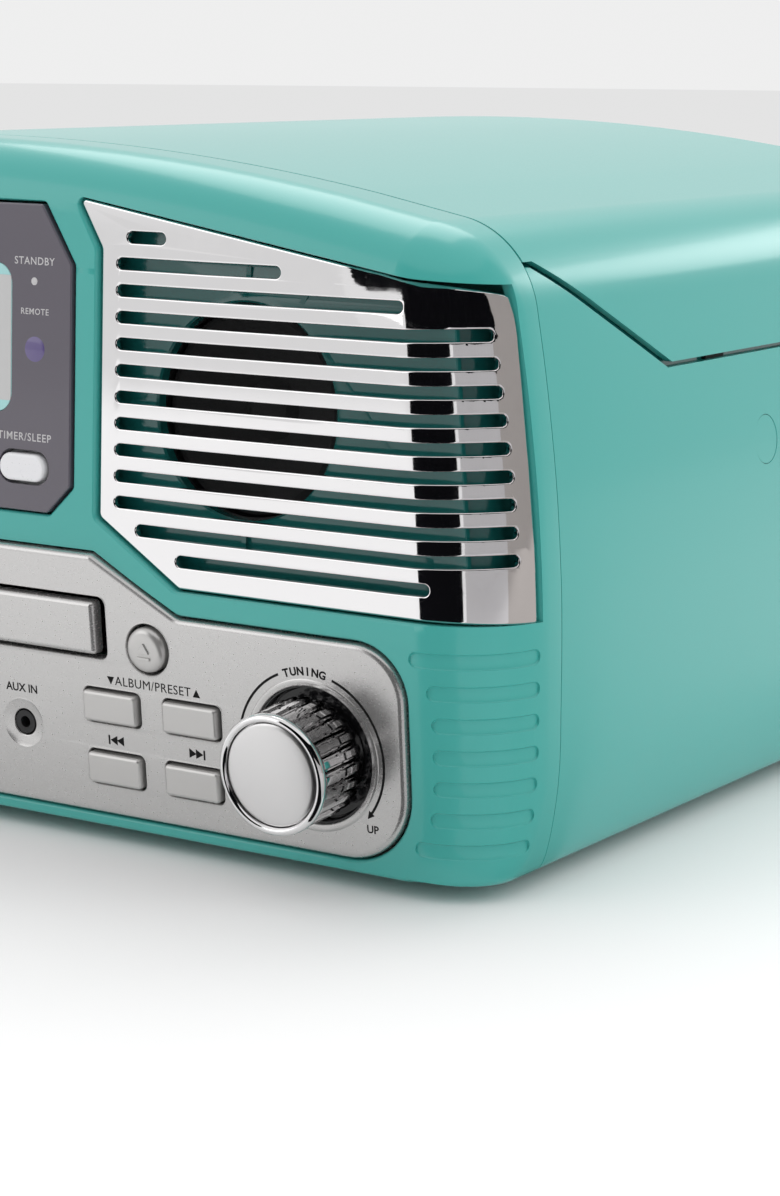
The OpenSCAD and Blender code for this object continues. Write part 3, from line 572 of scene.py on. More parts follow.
def rib_cutter(i, side):
    """A groove swept round the corner; the middle ones start farther out than the top and bottom ones."""
    z = RIB_TOP - RIB_PITCH * i
    left = RIB_LEFT - 0.08 * abs(RIB_COUNT // 2 - i) ** 4 - RIB_HALF
    line, step, stop = surface_path(z, RIB_END)
    start, half = np.interp(left, line[:, 0], step), RIB_HALF
    ease = half * (1 - np.cos(np.linspace(0.15, math.pi / 2, 6)))
    along = np.r_[start + ease, np.linspace(start + half, stop - half, 22)[1:-1], stop - ease[::-1]]
    rings = []
    for a in along:
        reach = min(a - start, stop - a, half)
        w = math.sqrt(max(half ** 2 - (half - reach) ** 2, 1e-4))
        x, y = np.interp(a, step, line[:, 0]), np.interp(a, step, line[:, 1])
        x2, y2 = np.interp(a + 0.4, step, line[:, 0]), np.interp(a + 0.4, step, line[:, 1])
        n = np.array((y2 - y, -(x2 - x)))
        n /= np.linalg.norm(n)
        section = [(-w - 0.3, 1.2), (-w, 0.12), (-w + 0.35 * w / half, -0.35), (-w * 0.7, -0.62), (0, -0.7),
                   (w * 0.7, -0.62), (w - 0.35 * w / half, -0.35), (w, 0.12), (w + 0.3, 1.2)]
        rings.append(np.array([(side * (x + n[0] * d), y + n[1] * d, z + v) for v, d in section]))
    return loft(rings)


moulding = to_object("front_shell", skin_form(0, [(0, PARTING - 0.4), (0.1, PARTING - 0.12), (0.35, PARTING)], 18))
inner = cutter(skin_form(WALL, [(WALL, PARTING + 1)], 8))
ribs = cutter(join(*[rib_cutter(i, s) for i in range(RIB_COUNT) for s in (1, -1)]))
moulding = cut(moulding, inner, grille_cutter(1), grille_cutter(-1), opening(display_outline(0.6), 12),
               opening(panel_outline(0.7), 12, in_lower), ribs)
part(moulding, TEAL, replaces=["front_moulding"], sharp=35)

# how far the side bulges past the wrapped grille's round, by height
BULGE_Z, BULGE_OUT = [70, 80, 97, 115, 141, 152], [0.3, 0.7, 1.3, 1.2, 0.5, 0]


def crease_x(z):
    return CREASE[0][0] - (z - CREASE[0][1]) * math.tan(CREASE_TILT)


def wrap(p):
    """Bends a flat sheet round the body's corner: past the crease, x is a length along the wrap."""
    c, s = math.cos(CREASE_TILT), math.sin(CREASE_TILT)
    x, z = p[:, 0] - CREASE[0][0], p[:, 2] - CREASE[0][1]
    a, b = x * c + z * s, -x * s + z * c
    phi = np.clip(a / WRAP_R, 0, math.pi / 2)
    past = np.clip(a - WRAP_R * math.pi / 2, 0, None)
    # the shoulder draws in above the bulge
    out = np.interp(p[:, 2], BULGE_Z, BULGE_OUT) * (phi / (math.pi / 2)) ** 2
    out = out - 0.011 * np.clip(p[:, 2] - 152, 0, None) ** 2 * np.clip((p[:, 0] - 158) / 22, 0, 1)
    r = WRAP_R - (p[:, 1] - GRILLE_Y) + out
    a, y = np.where(a > 0, r * np.sin(phi),
                    a), np.where(a > 0, GRILLE_Y + WRAP_R - r * np.cos(phi) + past, p[:, 1] - out)
    return np.c_[a * c - b * s + CREASE[0][0], y, a * s + b * c + CREASE[0][1]]


def baffle(side):
    """The board behind a grille, with the speaker's hole and twelve short ribs round it."""
    outer = rounded([(66.5, 92), (100, 71), (196, 71), (194.4, 92), (188, 160), (180, 167), (66.5, 184)], 2)
    ring_edge = [(2.4, 7.4), (0.6, 7.2), (0, 7.8), (0, 11)]
    sheet = plate(outer, [(circle(SPEAKER, SPEAKER_R), ring_edge)], fillet(0.3, 9, 11))
    slats = []
    for a in np.radians(range(0, 360, 30)):
        c, s = math.cos(a), math.sin(a)
        p = np.array([(33.6, -0.8), (41, -0.8), (41, 0.8), (33.6, 0.8)])
        p = np.c_[p[:, 0] * c - p[:, 1] * s + SPEAKER[0], p[:, 0] * s + p[:, 1] * c + SPEAKER[1]]
        slats.append(prism_y(p, 7.6, 9.2))
    # behind the bent end of the grille the baffle is carried round as a curved lining
    lining = loft([wrap(np.array([(crease_x(z) + a, GRILLE_Y + d, z)
                                  for z, d in ((77.5, 7), (164, 7), (164, 8), (77.5, 8))]))
                   for a in np.linspace(-9, 41, 26)])
    shape = join(sheet, lining, *slats)
    return shape if side > 0 else flip_x(shape)


# the baffles take the darker teal copy, which paints the shade in the hollow behind the grilles
for side, word in SIDES:
    piece("baffle_" + word, baffle(side), TEAL_PAINTED_SHADE, in_upper)


# ---- cabinet shell and lid
def slab(t, y0, y1):
    return prism_y(outline(t), y0, y1)


PLUG_R, PLUG_HOLE_R, PLUG_Y, PLUG_Z = 7.6, 7.75, 162.5, 110
BASE_OPENING, REAR_OPENING = ((-188.4, 42, -1), (188.4, 338, 4)), ((-150.4, 345, 19.6), (150.4, 351, 112.4))
REAR_EARS = ((150, 345, 50), (158, 351, 80)), ((-158, 345, 50), (-150, 351, 80))
UPSTAND, UPSTAND_T = LID_WALL + 0.9, 1.4  # the upstand under the lid: how far in it stands, and its thickness


def plug_rods(r):
    rod = along_x(turned([(r, -22), (r, 22)]))
    return join(*[moved(rod, (190 * k, PLUG_Y, PLUG_Z)) for k in (1, -1)])


shell = cut(
    to_object("rear_shell", slab(0, PARTING + 0.05, DEPTH)), cutter(slab(WALL, PARTING - 1, DEPTH - WALL)),
    cutter(prism_x([(26, 170.4), *LID_LINE, (360, 260), (26, 260)], -250, 250)),
    cutter(block(*BASE_OPENING)), cutter(block(*REAR_OPENING)), cutter(join(*[block(*ear) for ear in REAR_EARS])),
    cutter(plug_rods(PLUG_HOLE_R)))
part(shell, TEAL, replaces=["cabinet_shell"], bevel=0.35, sharp=30)
# the upstand that the lid closes over, which blocks the view through the gap; it is in the darker teal copy, which
# paints the shade in the gap
seat = cut(to_object("lid_seat", slab(UPSTAND, PARTING + 1, DEPTH - 6)),
           cutter(prism_x([(PARTING, 165), (33.5, 165), (102, 131), (DEPTH, 131), (DEPTH, 141.6), (104, 141.6),
                           (37, 174.5), (PARTING, 174.5)], -250, 250)), how="INTERSECT")
part(cut(seat, cutter(slab(UPSTAND + UPSTAND_T, PARTING, DEPTH)), cutter(block((-186, 300, 120), (186, 355, 160)))),
     TEAL_PAINTED_SHADE, sharp=30)
plugs = cut(to_object("plug_caps", plug_rods(PLUG_R)), cutter(slab(0.12, PARTING, DEPTH)), how="INTERSECT")
part(cut(plugs, cutter(slab(WALL, PARTING - 1, DEPTH + 1))), TEAL, replaces=["side_plugs"], sharp=30)
piece("deck_ledges", join(*[block((x, 60, 128), (x + 9.8, 340, 133)) for x in (190, -199.8)]), TEAL, bevel=0.6)
lid = cut(
    to_object("lid_shell", slab(0, PARTING + LID_FRONT, DEPTH)),
    cutter(slab(LID_WALL, PARTING - 2, DEPTH - LID_WALL)),
    cutter(prism_x([(y + LID_BACK, z + LID_GAP)
                    for y, z in [(20, 170.4), *LID_LINE, (360, -20), (20, -20)]], -250, 250)))
part(lid, TEAL, body="lid", replaces=["lid"], bevel=0.5, sharp=30)


# ---- grilles
SLOT_ENDS = [64, 66.4, 68.2, 70.3, 71.6, 72.8, 73.4, 74, 74.2]  # degrees round the wrap, slots 3 to 11
SLOT_COUNT, SLOT_TOP, SLOT_PITCH, SLOT_HALF = 13, 175.7, 7.65, 1.7
SLOT_LEFT, SLOT_RIGHT = {0: 82, 11: 86.3, 12: 100.9}, {0: 95.6, 1: 135.5, 2: 175.5, 12: 186.7}


def slot_outline(i):
    z = SLOT_TOP - SLOT_PITCH * i
    left = SLOT_LEFT.get(i, 78.4) + SLOT_HALF
    if i in SLOT_RIGHT:
        right = SLOT_RIGHT[i] - SLOT_HALF
    else:
        right = crease_x(z) + WRAP_R * math.radians(SLOT_ENDS[i - 3]) - SLOT_HALF

    def rise(x):
        return np.interp(x, [110, 180], [0, 0.4]) + 0.0527 * max(0, x - crease_x(z))

    bends = [x for x in np.arange(92, 206, 6) if left + 3 < x < right - 3] or [(left + right) / 2]
    edge = np.array([(x, z + rise(x)) for x in bends])
    return np.vstack([arc(left, z, SLOT_HALF, 90, 270, 12), edge - (0, SLOT_HALF),
                      arc(right, z + rise(right), SLOT_HALF, -90, 90, 12), edge[::-1] + (0, SLOT_HALF)])


def edge_reach(z):
    """How far along the flat sheet the grille's right edge lies at height z."""
    y = GRILLE_END - WAIST_Y - (z - WAIST_Z) * math.sin(LEAN_UP)
    phi = math.acos(max(1 - (y - GRILLE_Y) / WRAP_R, 0))
    return crease_x(z) + (WRAP_R * phi + max(y - GRILLE_Y - WRAP_R, 0)) / math.cos(CREASE_TILT)


def grille(side):
    """A flat sheet with its slots, divided where it will bend, and then bent round the corner."""
    top = [(crease_x(168) + WRAP_R * math.radians(d), 168.3 - 0.03 * d) for d in (80, 60, 40, 20, 0)]
    outer = rounded([(102.1, 75.9), *[(edge_reach(z), z) for z in (75.9, 90, 105, 120, 135, 150, 160, 165.6)], *top,
                     (168, 169.6), (64.2, 186.3), (72.8, 172.1), (72.8, 94.3)],
                    [3, 1.5, 0, 0, 0, 0, 0, 0, 1, 0, 0, 0, 0, 0, 0, 1.2, 3, 2.5])
    points, faces = plate(outer, [slot_outline(i) for i in range(SLOT_COUNT)],
                          fillet(0.7, GRILLE_Y, GRILLE_Y + GRILLE_T),
                          fillet(0.45, GRILLE_Y, GRILLE_Y + GRILLE_T))
    me = bpy.data.meshes.new("flat")
    me.from_pydata(points.tolist(), [], faces)
    bm = bmesh.new()
    bm.from_mesh(me)
    along = Vector((math.cos(CREASE_TILT), 0, math.sin(CREASE_TILT)))
    lines = [(along, along * d) for d in [*np.arange(-26, 0, 4), *np.arange(0, 42, 1.0)]]
    lines += [(Vector((0, 0, 1)), Vector((0, 0, z - CREASE[0][1])))
              for z in (84, 97, 110, 125, 141, *np.arange(151, 169, 1.5))]
    for direction, by in lines:
        bmesh.ops.bisect_plane(bm, geom=bm.verts[:] + bm.edges[:] + bm.faces[:], dist=1e-4,
                               plane_co=Vector((CREASE[0][0], 0, CREASE[0][1])) + by, plane_no=direction)
    bm.verts.index_update()
    points = wrap(np.array([v.co for v in bm.verts]))
    faces = [tuple(v.index for v in f.verts) for f in bm.faces]
    bm.free()
    bpy.data.meshes.remove(me)
    return (points, faces) if side > 0 else flip_x((points, faces))


for side, word in SIDES:
    piece("chrome_grille_" + word, grille(side), CHROME, in_upper, replaces=["grille_" + word], sharp=40)


# ---- display
INK, FASCIA_FACE, PANEL_FACE = 0.02, -0.6, -1.0  # how thick print stands, and the depths that it stands on
lcd_mid, lcd_h = (LCD_Z[0] + LCD_Z[1]) / 2, LCD_Z[1] - LCD_Z[0]
pill_holes = [bar(s * PILL_AT[0], PILL_AT[1], PILL[0] + 2, PILL[1] + 2, 5) for s in (1, -1)]
piece("fascia", plate(display_outline(0), [bar(0, lcd_mid, LCD_W, lcd_h, 6, 8), *pill_holes],
                      fillet(0.5, FASCIA_FACE, 3.2), fillet(0.25, FASCIA_FACE, 3.2)),
      FASCIA, in_upper, replaces=["display_panel"])
piece("lcd_glass", join(plate(bar(0, lcd_mid, LCD_W - 0.3, lcd_h - 0.3, 5.9, 8), [], fillet(0.2, -0.35, 3.2)),
                        block((-LCD_W / 2 - 4, 3.2, LCD_Z[0] - 4), (LCD_W / 2 + 4, 7, LCD_Z[1] + 4))), LCD_FRAME,
      in_upper, replaces=["lcd_window"])
piece("lcd_cells", plate(bar(0, lcd_mid, LCD_W - 0.8, lcd_h - 7.4, 0.6), [], fillet(0.05, -0.42, 0.4)), LCD_GREY,
      in_upper)


DIGIT_EDGE = [(0, -0.46), (0, -0.4)]


def seven_segments(digit, x, z, w, h, t):
    spots = {"a": (0, h / 2), "g": (0, 0), "d": (0, -h / 2), "b": (w / 2, h / 4), "c": (w / 2, -h / 4),
             "e": (-w / 2, -h / 4),
             "f": (-w / 2, h / 4)}
    out = []
    for s in {"0": "abcdef", "1": "bc", "2": "abged"}[digit]:
        cx, cz = x + spots[s][0], z + spots[s][1]
        if s in "agd":
            a, b = (w - t * 0.3) / 2, t / 2
            outer = rounded([(cx - a, cz), (cx - a + b, cz - b), (cx + a - b, cz - b), (cx + a, cz),
                             (cx + a - b, cz + b), (cx - a + b, cz + b)], 0.1, 2)
        else:
            outer = bar(cx, cz, t, h / 2 - t * 0.3, 0.4, 2)
        out.append(plate(outer, [], DIGIT_EDGE))
    return out


digits = [s for d, x in zip("1200", (-24, -10, 8, 22)) for s in seven_segments(d, x, lcd_mid, 9, 17, 1.7)]
colon = [plate(circle((-1, lcd_mid + dz), 0.9, 20), [], DIGIT_EDGE) for dz in (-3.5, 3.5)]
piece("lcd_digits", join(*digits, *colon), LCD_INK, in_upper)
pale = [letters("STANDBY", 2.2, (49.7, 167.3), bold=0.01, spread=1.12),
        letters("TIMER/SLEEP", 2.3, (46.3, 115.6), bold=0.01, spread=1.14),
        letters("REMOTE", 1.8, (49.9, 152.6), bold=0.01, spread=1.12),
        letters("MODE", 2.2, (-46.1, 115.6)), letters("STEREO", 1.7, (-49.9, 163)),
        letters("MEMORY", 1.7, (-49.9, 150))]
status_light = plate(circle((49.7, 161.5), 1.15, 32), [], [(0.15, -0.08), (0, 0), (0, 0.3)])
piece("fascia_print", moved(join(*pale, status_light), (0, FASCIA_FACE - INK, 0)), PALE_PRINT, in_upper)
piece("sensor_lens", moved(turned([(0.3, -0.95), (1.6, -0.88), (3.0, -0.74), (3.7, -0.6), (3.7, -0.3)]),
                           (50, 0, 141.7)),
      VIOLET, in_upper)


def key(name, at, size, top, skirt, mat, place, sharp=32):
    """A key with a wider skirt behind it; top and skirt are each (corner radius, corner steps, edge, growth)."""
    shapes = [plate(bar(*at, size[0] + grow, size[1] + grow, r, n), [], edge) for r, n, edge, grow in (top, skirt)]
    piece(name + "_key", join(*shapes), mat, place, body=name + "_button", replaces=[name + "_button"], sharp=sharp)


for side, name in ((1, "timer"), (-1, "mode")):
    key(name, (side * PILL_AT[0], PILL_AT[1]), PILL, (4, 8, fillet(0.9, -1.8, 5), 0), (4, 6, fillet(0, 5, 6.5), 3),
        WHITE_KEY, in_upper)


# ---- control panel
lip = [(0.75, -1.0), (0.6, -1.12), (0.35, -1.12), (0.12, -0.9), (0, -0.5), (0, 3.1)]
knob_lip = [(2.3, -1.0), (2.1, -1.25), (1.7, -1.4), (1.2, -1.45), (0.75, -1.3), (0.5, -1.35), (0.2, -1.2), (0, -0.8),
            (0, 3.1)]
dish = [(3.6, -1.0), (3.4, -1.12), (3.1, -1.0), (1.9, -0.55), (0.3, -0.35), (0, -0.1), (0, 3.1)]
panel_holes = [(bar(0, (SLOT[1] + SLOT[2]) / 2, SLOT[0], SLOT[2] - SLOT[1], 2.6), lip)]
for s in (1, -1):
    panel_holes += [(circle((s * KNOB_X, KNOB_Z), WELL_R, 96), knob_lip),
                    (circle((s * ROUND_BUTTON[0], ROUND_BUTTON[1]), ROUND_R + 0.8), lip),
                    (circle((s * JACK[0], JACK[1]), JACK_R), dish)]
    panel_holes += [(bar(s * x, z, BUTTON_W + 1.2, BUTTON_H + 1.2, 2.0), lip) for x, z in BUTTONS]
rim = [(1.9, -1.0), (1.4, -0.95), (0.9, -0.78), (0.5, -0.48), (0.2, -0.02), (0.04, 0.6), (0, 1.2), (0, 3.1)]
piece("silver_panel", plate(panel_outline(0), panel_holes, rim), SILVER, in_lower, replaces=["control_panel"],
      sharp=40)
door_mid = (DOOR_Z[0] + DOOR_Z[1]) / 2
piece("drawer_front", plate(bar(0, door_mid, DOOR_W, DOOR_Z[1] - DOOR_Z[0], 1.4), [],
                            [(1.5, -2.4), (1.2, -2.35), (0.5, -1.9), (0.15, -1.3), (0, -0.4), (0, 1.6)]),
      SILVER, in_lower, body="cd_drawer", replaces=["cd_door"], sharp=50)
for s, word in SIDES:
    well = moved(turned([(WELL_R - 0.05, -0.4), (WELL_R - 0.05, 3.05), (6.2, 3.05), (6.2, 2.75), (19.0, 2.7),
                         (19.5, 2.3), (19.7, -0.4)], 96, closed=True), (s * KNOB_X, 0, KNOB_Z))
    piece("knob_well_" + word, well, GLOSS_BLACK, in_lower)


key_top = [(1.0, -3), (0.8, -2.97), (0.35, -2.75), (0.1, -2.35), (0, -1.7), (0, 6)]
for side, names in ((1, ("preset_down", "preset_up", "skip_back", "skip_forward")),
                    (-1, ("function", "band", "program", "stop"))):
    for name, (x, z) in zip(names, BUTTONS):
        key(name, (x * side, z), (BUTTON_W, BUTTON_H), (1.3, 6, key_top, 0), (0.9, 6, fillet(0, 6, 7.4), 2.6), KEYS,
            in_lower, sharp=50)


def triangle(cx, cz, w, h, turn=0.0):
    a = np.array([(-w / 2, -h / 2), (w / 2, -h / 2), (0, h / 2)])
    c, s = math.cos(turn), math.sin(turn)
    return np.c_[a[:, 0] * c - a[:, 1] * s + cx, a[:, 0] * s + a[:, 1] * c + cz]


def flat(outer):
    return plate(np.asarray(outer, float), [], [(0, -INK), (0, INK)])


for s, word in ((1, "eject"), (-1, "play")):
    cap = turned([(0.2, -3), (3.5, -2.97), (5, -2.85), (5.9, -2.5), (6.5, -1.9), (6.8, -1.1), (6.8, 6), (8.2, 6),
                  (8.2, 7.4), (0.2, 7.4)])
    x, z = s * ROUND_BUTTON[0], ROUND_BUTTON[1]
    if s > 0:
        mark = [triangle(0, 0.9, 4.6, 3.4), bar(0, -2.2, 4.6, 0.9, 0.1, 1)]
    else:
        mark = [triangle(-1.6, 0, 4.2, 3.4, -math.pi / 2), bar(1.3, 0, 0.9, 4.2, 0.1, 1),
                bar(2.8, 0, 0.9, 4.2, 0.1, 1)]
    raised = [plate(np.array(m) if m is not mark[0] else rounded(m, 0.3, 2), [], [(0.1, -3.5), (0, -3.35), (0, -2.7)])
              for m in mark]
    piece(word + "_key", moved(join(cap, *raised), (x, 0, z)), KEYS, in_lower, body=word + "_button",
          replaces=[word + "_button"], sharp=45)


def ring_band(cx, cz, r, w, a0, a1, n):
    return flat(np.vstack([arc(cx, cz, r + w / 2, a0, a1, n), arc(cx, cz, r - w / 2, a1, a0, n)]))


def arrow(x, z, w, h, turn):
    return flat(triangle(x, z, w, h, turn))


def around(string, cx, cz, r, middle, step, height):
    """A word round a circle; middle and step are the angles of its middle and from each letter to the next."""
    out = []
    for i, ch in enumerate(string):
        a = math.radians(middle - (i - (len(string) - 1) / 2) * step)
        out.append(letters(ch, height, (cx + r * math.cos(a), cz + r * math.sin(a)), a - math.pi / 2, bold=0.05))
    return out


def skip_mark(cx, cz, way):
    return [arrow(cx - 1.3 * way, cz, 2.9, 2.6, -way * math.pi / 2),
            arrow(cx + 1.1 * way, cz, 2.9, 2.6, -way * math.pi / 2),
            flat(bar(cx + 2.8 * way, cz, 0.6, 2.9, 0.05, 1))]


marks = []
MARK_R, TIP = 24.2, math.radians(-39)  # the printed arc round a knob, and where its arrow points
for s, word in ((1, "TUNING"), (-1, "VOLUME")):
    cx = s * KNOB_X
    marks += around(word, cx, KNOB_Z, 24.4, 93.5, 5.9, 2.3)
    marks += [ring_band(cx - 0.4, KNOB_Z, 24.6, 0.75, 114, 166, 20), ring_band(cx, KNOB_Z, MARK_R, 0.75, -36, 71, 44)]
    marks += [arrow(cx + MARK_R * math.cos(TIP), KNOB_Z + MARK_R * math.sin(TIP), 2.2, 2.4, math.radians(142)),
              letters("UP", 2.3, (cx + 19.6, KNOB_Z - 19.2))]
marks += [letters("AUX IN", 2.5, (43.4, 39.4)), letters("PHONES", 2.5, (-43.4, 39.4)),
          letters("ALBUM/PRESET", 2.75, (93.1, 46.1), bold=0, spread=1.07), arrow(77.7, 46.1, 2.6, 2.4, math.pi),
          arrow(108.9, 46.1, 2.6, 2.4, 0), *skip_mark(78.6, 27.7, -1), *skip_mark(107.8, 27.7, 1)]
marks += [letters(*row) for row in (("FUNCTION", 2.1, (-77.8, 46.1)), ("BAND", 2.1, (-106.9, 46.1)),
                                    ("PROGRAM", 2.1, (-78.2, 27.7)))] + [flat(bar(-106.7, 27.7, 2.0, 2.0, 0.1, 1))]
piece("panel_print", moved(join(*marks), (0, PANEL_FACE - INK, 0)), PRINT, in_lower)


# ---- knobs
PETAL_STEPS = [(2.1, 1.7), (1.2, 0.65)]  # each terrace of a petal: its half width and its height
PETAL_SLOPE = 0.25  # half the width of a terrace's sloping edge
GRIP_R, GRIP_TAPER = 15.0, 0.3


def petal_barrel():
    """The knob's grip: petals that end in rounds near the panel, each stepped like a stack of smaller petals."""
    pitch = 2 * math.pi / FLUTES
    stops = sorted({s * w for r, h in PETAL_STEPS for w in (r - PETAL_SLOPE, r, r + PETAL_SLOPE)
                    for s in (1, -1)} | {0.0, 0.45, -0.45})
    angles = np.concatenate([k * pitch + np.array(stops) / KNOB_R for k in range(FLUTES)])
    depths = [-KNOB_OUT + 3.2, -KNOB_OUT + 4.2, -13, -9, -5.6, *np.arange(-4.4, 0.5, 0.24), 1.4, 2.3]
    rings = []
    for y in depths:
        r = np.full(len(angles), GRIP_R + GRIP_TAPER * (y + 18) / 18)
        for w, h in PETAL_STEPS:
            off = (angles * KNOB_R + KNOB_R * pitch / 2) % (KNOB_R * pitch) - KNOB_R * pitch / 2
            d = np.hypot(off, max(0, y + 2.6))
            r += h * np.clip((w - d) / (2 * PETAL_SLOPE) + 0.5, 0, 1)
        rings.append(np.c_[r * np.cos(angles), np.full(len(angles), y), r * np.sin(angles)])
    n = len(angles)
    for r, y in ((14.0, 2.4), (3.0, 2.4), (3.0, 18)):
        rings.append(np.c_[r * np.cos(angles), np.full(n, y), r * np.sin(angles)])
    return loft(rings)


def knob(side, word):
    body = word + "_knob"
    at, face_at = (side * KNOB_X, 0, KNOB_Z), (side * KNOB_X, -KNOB_OUT, KNOB_Z)
    rim = turned([(15.1, 1.5), (15.3, 0.75), (15.65, 0.28), (16.1, 0.03), (16.6, 0.1), (17.1, 0.45), (17.45, 0.95),
                  (17.6, 1.6), (17.55, 2.3), (17.3, 2.9), (16.8, 3.2), (15.1, 3.3)], 120, closed=True)
    cap = turned([(0.05, 0.1), (3, 0.12), (7, 0.22), (11, 0.42), (13.6, 0.66), (14.5, 0.86), (14.85, 1.15),
                  (14.9, 1.6), (14.9, 3.9), (0.05, 3.9)], 120)
    piece(word + "_grip", join(moved(petal_barrel(), at), moved(rim, face_at)), CHROME, in_lower, body=body,
          replaces=[body], sharp=50)
    piece(word + "_cap", moved(cap, face_at), SATIN, in_lower, body=body, sharp=40)


knob(1, "tuning")
knob(-1, "volume")


# ---- turntable
def disc(name, profile, at, mat, **how):
    return piece(name, upright(turned(profile, 160, closed=True), at), mat, **how)


hub = (SPINDLE[0], SPINDLE[1], DECK_Z)
disc("platter_casting", [(3.55, 14), (30, 14), (97, 14), (97.8, 13.6), (98, 13),
                         *[(r, y - d) for y in (11.2, 9.2, 7.2) for r, d in ((98, 0), (97.4, 0.3), (98, 0.6))],
                         (98, 3.2), (97.5, 2.6), (94.4, 2.6), (94, 3),
                         (94, 11), (60, 11), (60, 2.9), (59.7, 2.6), (57.9, 2.6), (57.6, 2.9), (57.6, 11), (12, 11),
                         (12, 2.6), (3.55, 2.6)], hub, PLATTER, body="platter", replaces=["platter"])
grooves = [(3.9, 14.02), (3.9, 15.9), (4.2, 16), (48, 16)]
for r in np.arange(50, 94, 2.0):
    grooves += [(r, 16), (r + 0.35, 15.75), (r + 0.8, 15.75), (r + 1.15, 16)]
disc("felt_disc", grooves + [(95.4, 16), (95.9, 15.7), (96, 15.3), (96, 14.02)], hub, FELT, body="platter",
     replaces=["slip_mat"])

tube = turned([(2.9, -ARM_LENGTH + 16), (3.4, -ARM_LENGTH + 17), (3.6, -150), (4, -60), (4, -9), (4.8, -8), (4.8, -6),
               (3, -6), (3, 52), (0.1, 52)], 40)
gimbal = plate(bar(0, 0, 13, 12, 2.5), [], fillet(1, -7, 7, 1))
pin = along_x(turned([(0.1, -13.2), (1.5, -13.2), (1.5, 13.2), (0.1, 13.2)], 24))
shell_top = rounded([(-8.5, -8), (8.5, -8), (8.5, 8), (4.6, 20), (-4.6, 20), (-8.5, 8)], [3, 3, 6, 2, 2, 6])


def laid(p):
    """Points of a form made on the x-z plane, laid flat and face up."""
    return np.c_[p[:, 0], p[:, 2], -p[:, 1]]


def flat_plate(outer, z0, z1, edge):
    """A plate that lies flat: its outline is in x and y."""
    p, f = plate(outer, [], fillet(edge, -z1, -z0, edge))
    return laid(p), [g[::-1] for g in f]


finger = flat_plate(rounded([(7.5, 2), (14, 1), (18, -1.5), (18, 1.5), (14.5, 4.4), (7.5, 6)],
                            [0.3, 3, 0.8, 0.8, 3, 0.3]), -0.8, 0.8, 0.3)
arm_at = (PIVOT[0], PIVOT[1], ARM_Z)
piece("arm_tube", moved(join(tube, gimbal, pin), arm_at), ALLOY, body="tonearm", replaces=["tonearm"])
piece("headshell", moved(join(flat_plate(shell_top, -1.5, 1.5, 0.5), finger),
                         (PIVOT[0], PIVOT[1] - ARM_LENGTH, ARM_Z)), ALLOY,
      body="tonearm")
knurl = [(3.02, 24), (12, 24), (13, 25)]
for y in np.arange(26.5, 36, 1.5):
    knurl += [(13, y), (12.6, y + 0.35), (13, y + 0.7)]
piece("balance_weight", moved(turned(knurl + [(13, 44.8), (12, 46), (3.02, 46)], 72, closed=True), arm_at), STEEL,
      body="tonearm", replaces=["counterweight"])
words = join(*[letters(t, 3.2, at) for t, at in (("33", (154, 200.5)), ("45", (154, 209.5)), ("STOP", (152, 165)))])
piece("deck_print", moved((laid(words[0]), words[1]), (0, 0, DECK_Z + 0.03)), PRINT)


# ---- studio: floor, light, camera
def light(name, at, target, size, power):
    lamp = bpy.data.lights.new(name, "AREA")
    lamp.shape, lamp.size, lamp.size_y, lamp.energy = "RECTANGLE", *size, power
    obj = linked(name, lamp)
    obj.location = at
    obj.rotation_euler = (Vector(target) - Vector(at)).to_track_quat("-Z", "Y").to_euler()
    return obj


light("top_softbox", (-0.3, 0.6, 1.5), (0, 0, 0.1), (1.3, 1.3), 13)
side_light = light("side_softbox", (1.7, 0.35, 0.75), (0.1, 0, 0.12), (1.4, 1.0), 5)
side_light.visible_glossy = False
light("back_softbox", (0.65, 1.9, 0.85), (0.2, 0.1, 0.15), (0.9, 0.4), 4)
light("front_fill", (-1.2, -1.4, 0.9), (0, 0, 0.1), (1.4, 1.2), 4)

world = bpy.data.worlds.new("studio")
bpy.context.scene.world = world
world.use_nodes = True
put(world.node_tree.nodes["Background"], Color=(1, 1, 1, 1), Strength=0.86)


def stage_sheet(name, points, faces, colour, roughness):
    me = bpy.data.meshes.new(name)
    me.from_pydata(points, [], faces)
    paper = bpy.data.materials.new(name)
    paper.use_nodes = True
    put(paper.node_tree.nodes["Principled BSDF"], Base_Color=(*colour, 1), Roughness=roughness, Specular_IOR_Level=0)
    me.materials.append(paper)
    obj = linked(name, me)
    return obj


edge = circle((0, 0), 14, 128)
stage_sheet("floor", [(x, y, 0) for x, y in edge], [tuple(range(128))], (0.9, 0.9, 0.9), 0.6)

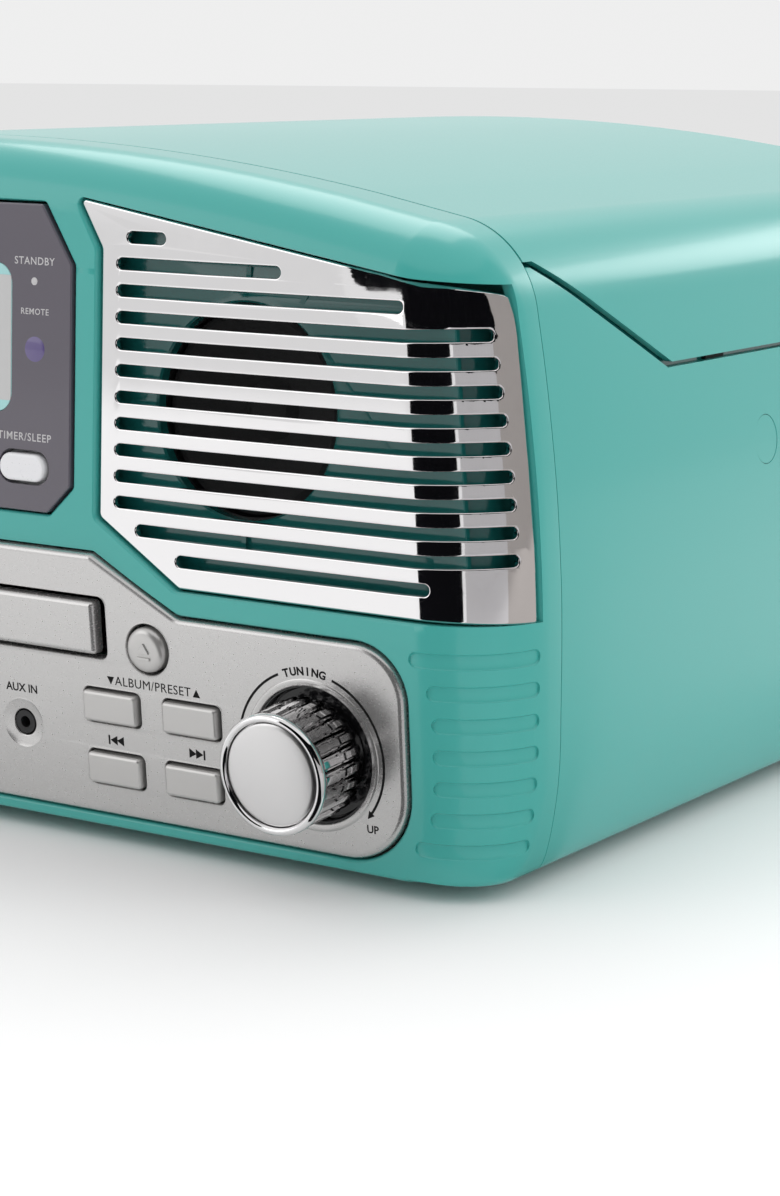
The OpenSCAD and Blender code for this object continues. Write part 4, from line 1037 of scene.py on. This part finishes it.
# cards that only the reflections see: fans on the floor from the front corner, and walls standing at their ends
FAN_FROM, NEAR, FAR, WALL_STEP, WALL_TOP, CARD_LIFT = (0.18, -0.16), 0.03, 3.0, 0.6, 3.0, 0.0005
DARK, PALE, WARM = (-114, -56), (-52, 4), (4, 60)  # degrees round FAN_FROM
BLACK_CARD, PALE_CARD, WARM_CARD = (0.004, 0.004, 0.005), (0.52, 0.51, 0.52), (0.38, 0.355, 0.34)
on_floor = (NEAR, CARD_LIFT), (FAR, CARD_LIFT)
low_wall, high_wall = ((FAR, 0), (FAR, WALL_STEP)), ((FAR, WALL_STEP), (FAR, WALL_TOP))
for name, (start, stop), (low, high), grey in (
        ("black_fan", DARK, on_floor, BLACK_CARD), ("pale_fan", PALE, on_floor, PALE_CARD),
        ("warm_fan", WARM, on_floor, WARM_CARD), ("black_wall", DARK, low_wall, BLACK_CARD),
        ("pale_wall", PALE, low_wall, PALE_CARD), ("warm_wall", WARM, low_wall, WARM_CARD),
        ("black_wall_top", (-114, 12), high_wall, BLACK_CARD), ("warm_wall_top", (12, 60), high_wall, WARM_CARD)):
    points = [(FAN_FROM[0] + r * math.cos(a), FAN_FROM[1] + r * math.sin(a), z)
              for r, z in (low, high) for a in np.radians(np.linspace(start, stop, 13))]
    card = stage_sheet(name, points, [(i, i + 1, i + 14, i + 13) for i in range(12)], grey, 0.9)
    card.visible_camera = card.visible_diffuse = card.visible_shadow = card.visible_transmission = False

# the camera that was solved from the photograph
CAMERA_AT, CAMERA_LOOK, CAMERA_UP = (0.6105, -0.8450, 0.2372), (-0.5333, 0.8255, -0.1846), (-0.1082, 0.1498, 0.9828)
camera_data = bpy.data.cameras.new("camera")
camera_data.lens, camera_data.sensor_width = 89.74, 36
camera_data.clip_start, camera_data.clip_end = 0.05, 50
camera = linked("camera", camera_data)
camera.location = CAMERA_AT
forward, up = Vector(CAMERA_LOOK).normalized(), Vector(CAMERA_UP)
right = forward.cross(up).normalized()
up = right.cross(forward)
camera.rotation_mode = "QUATERNION"
camera.rotation_quaternion = Matrix((right, up, -forward)).transposed().to_quaternion()
bpy.context.scene.camera = camera
bpy.context.scene.view_settings.view_transform = "Standard"
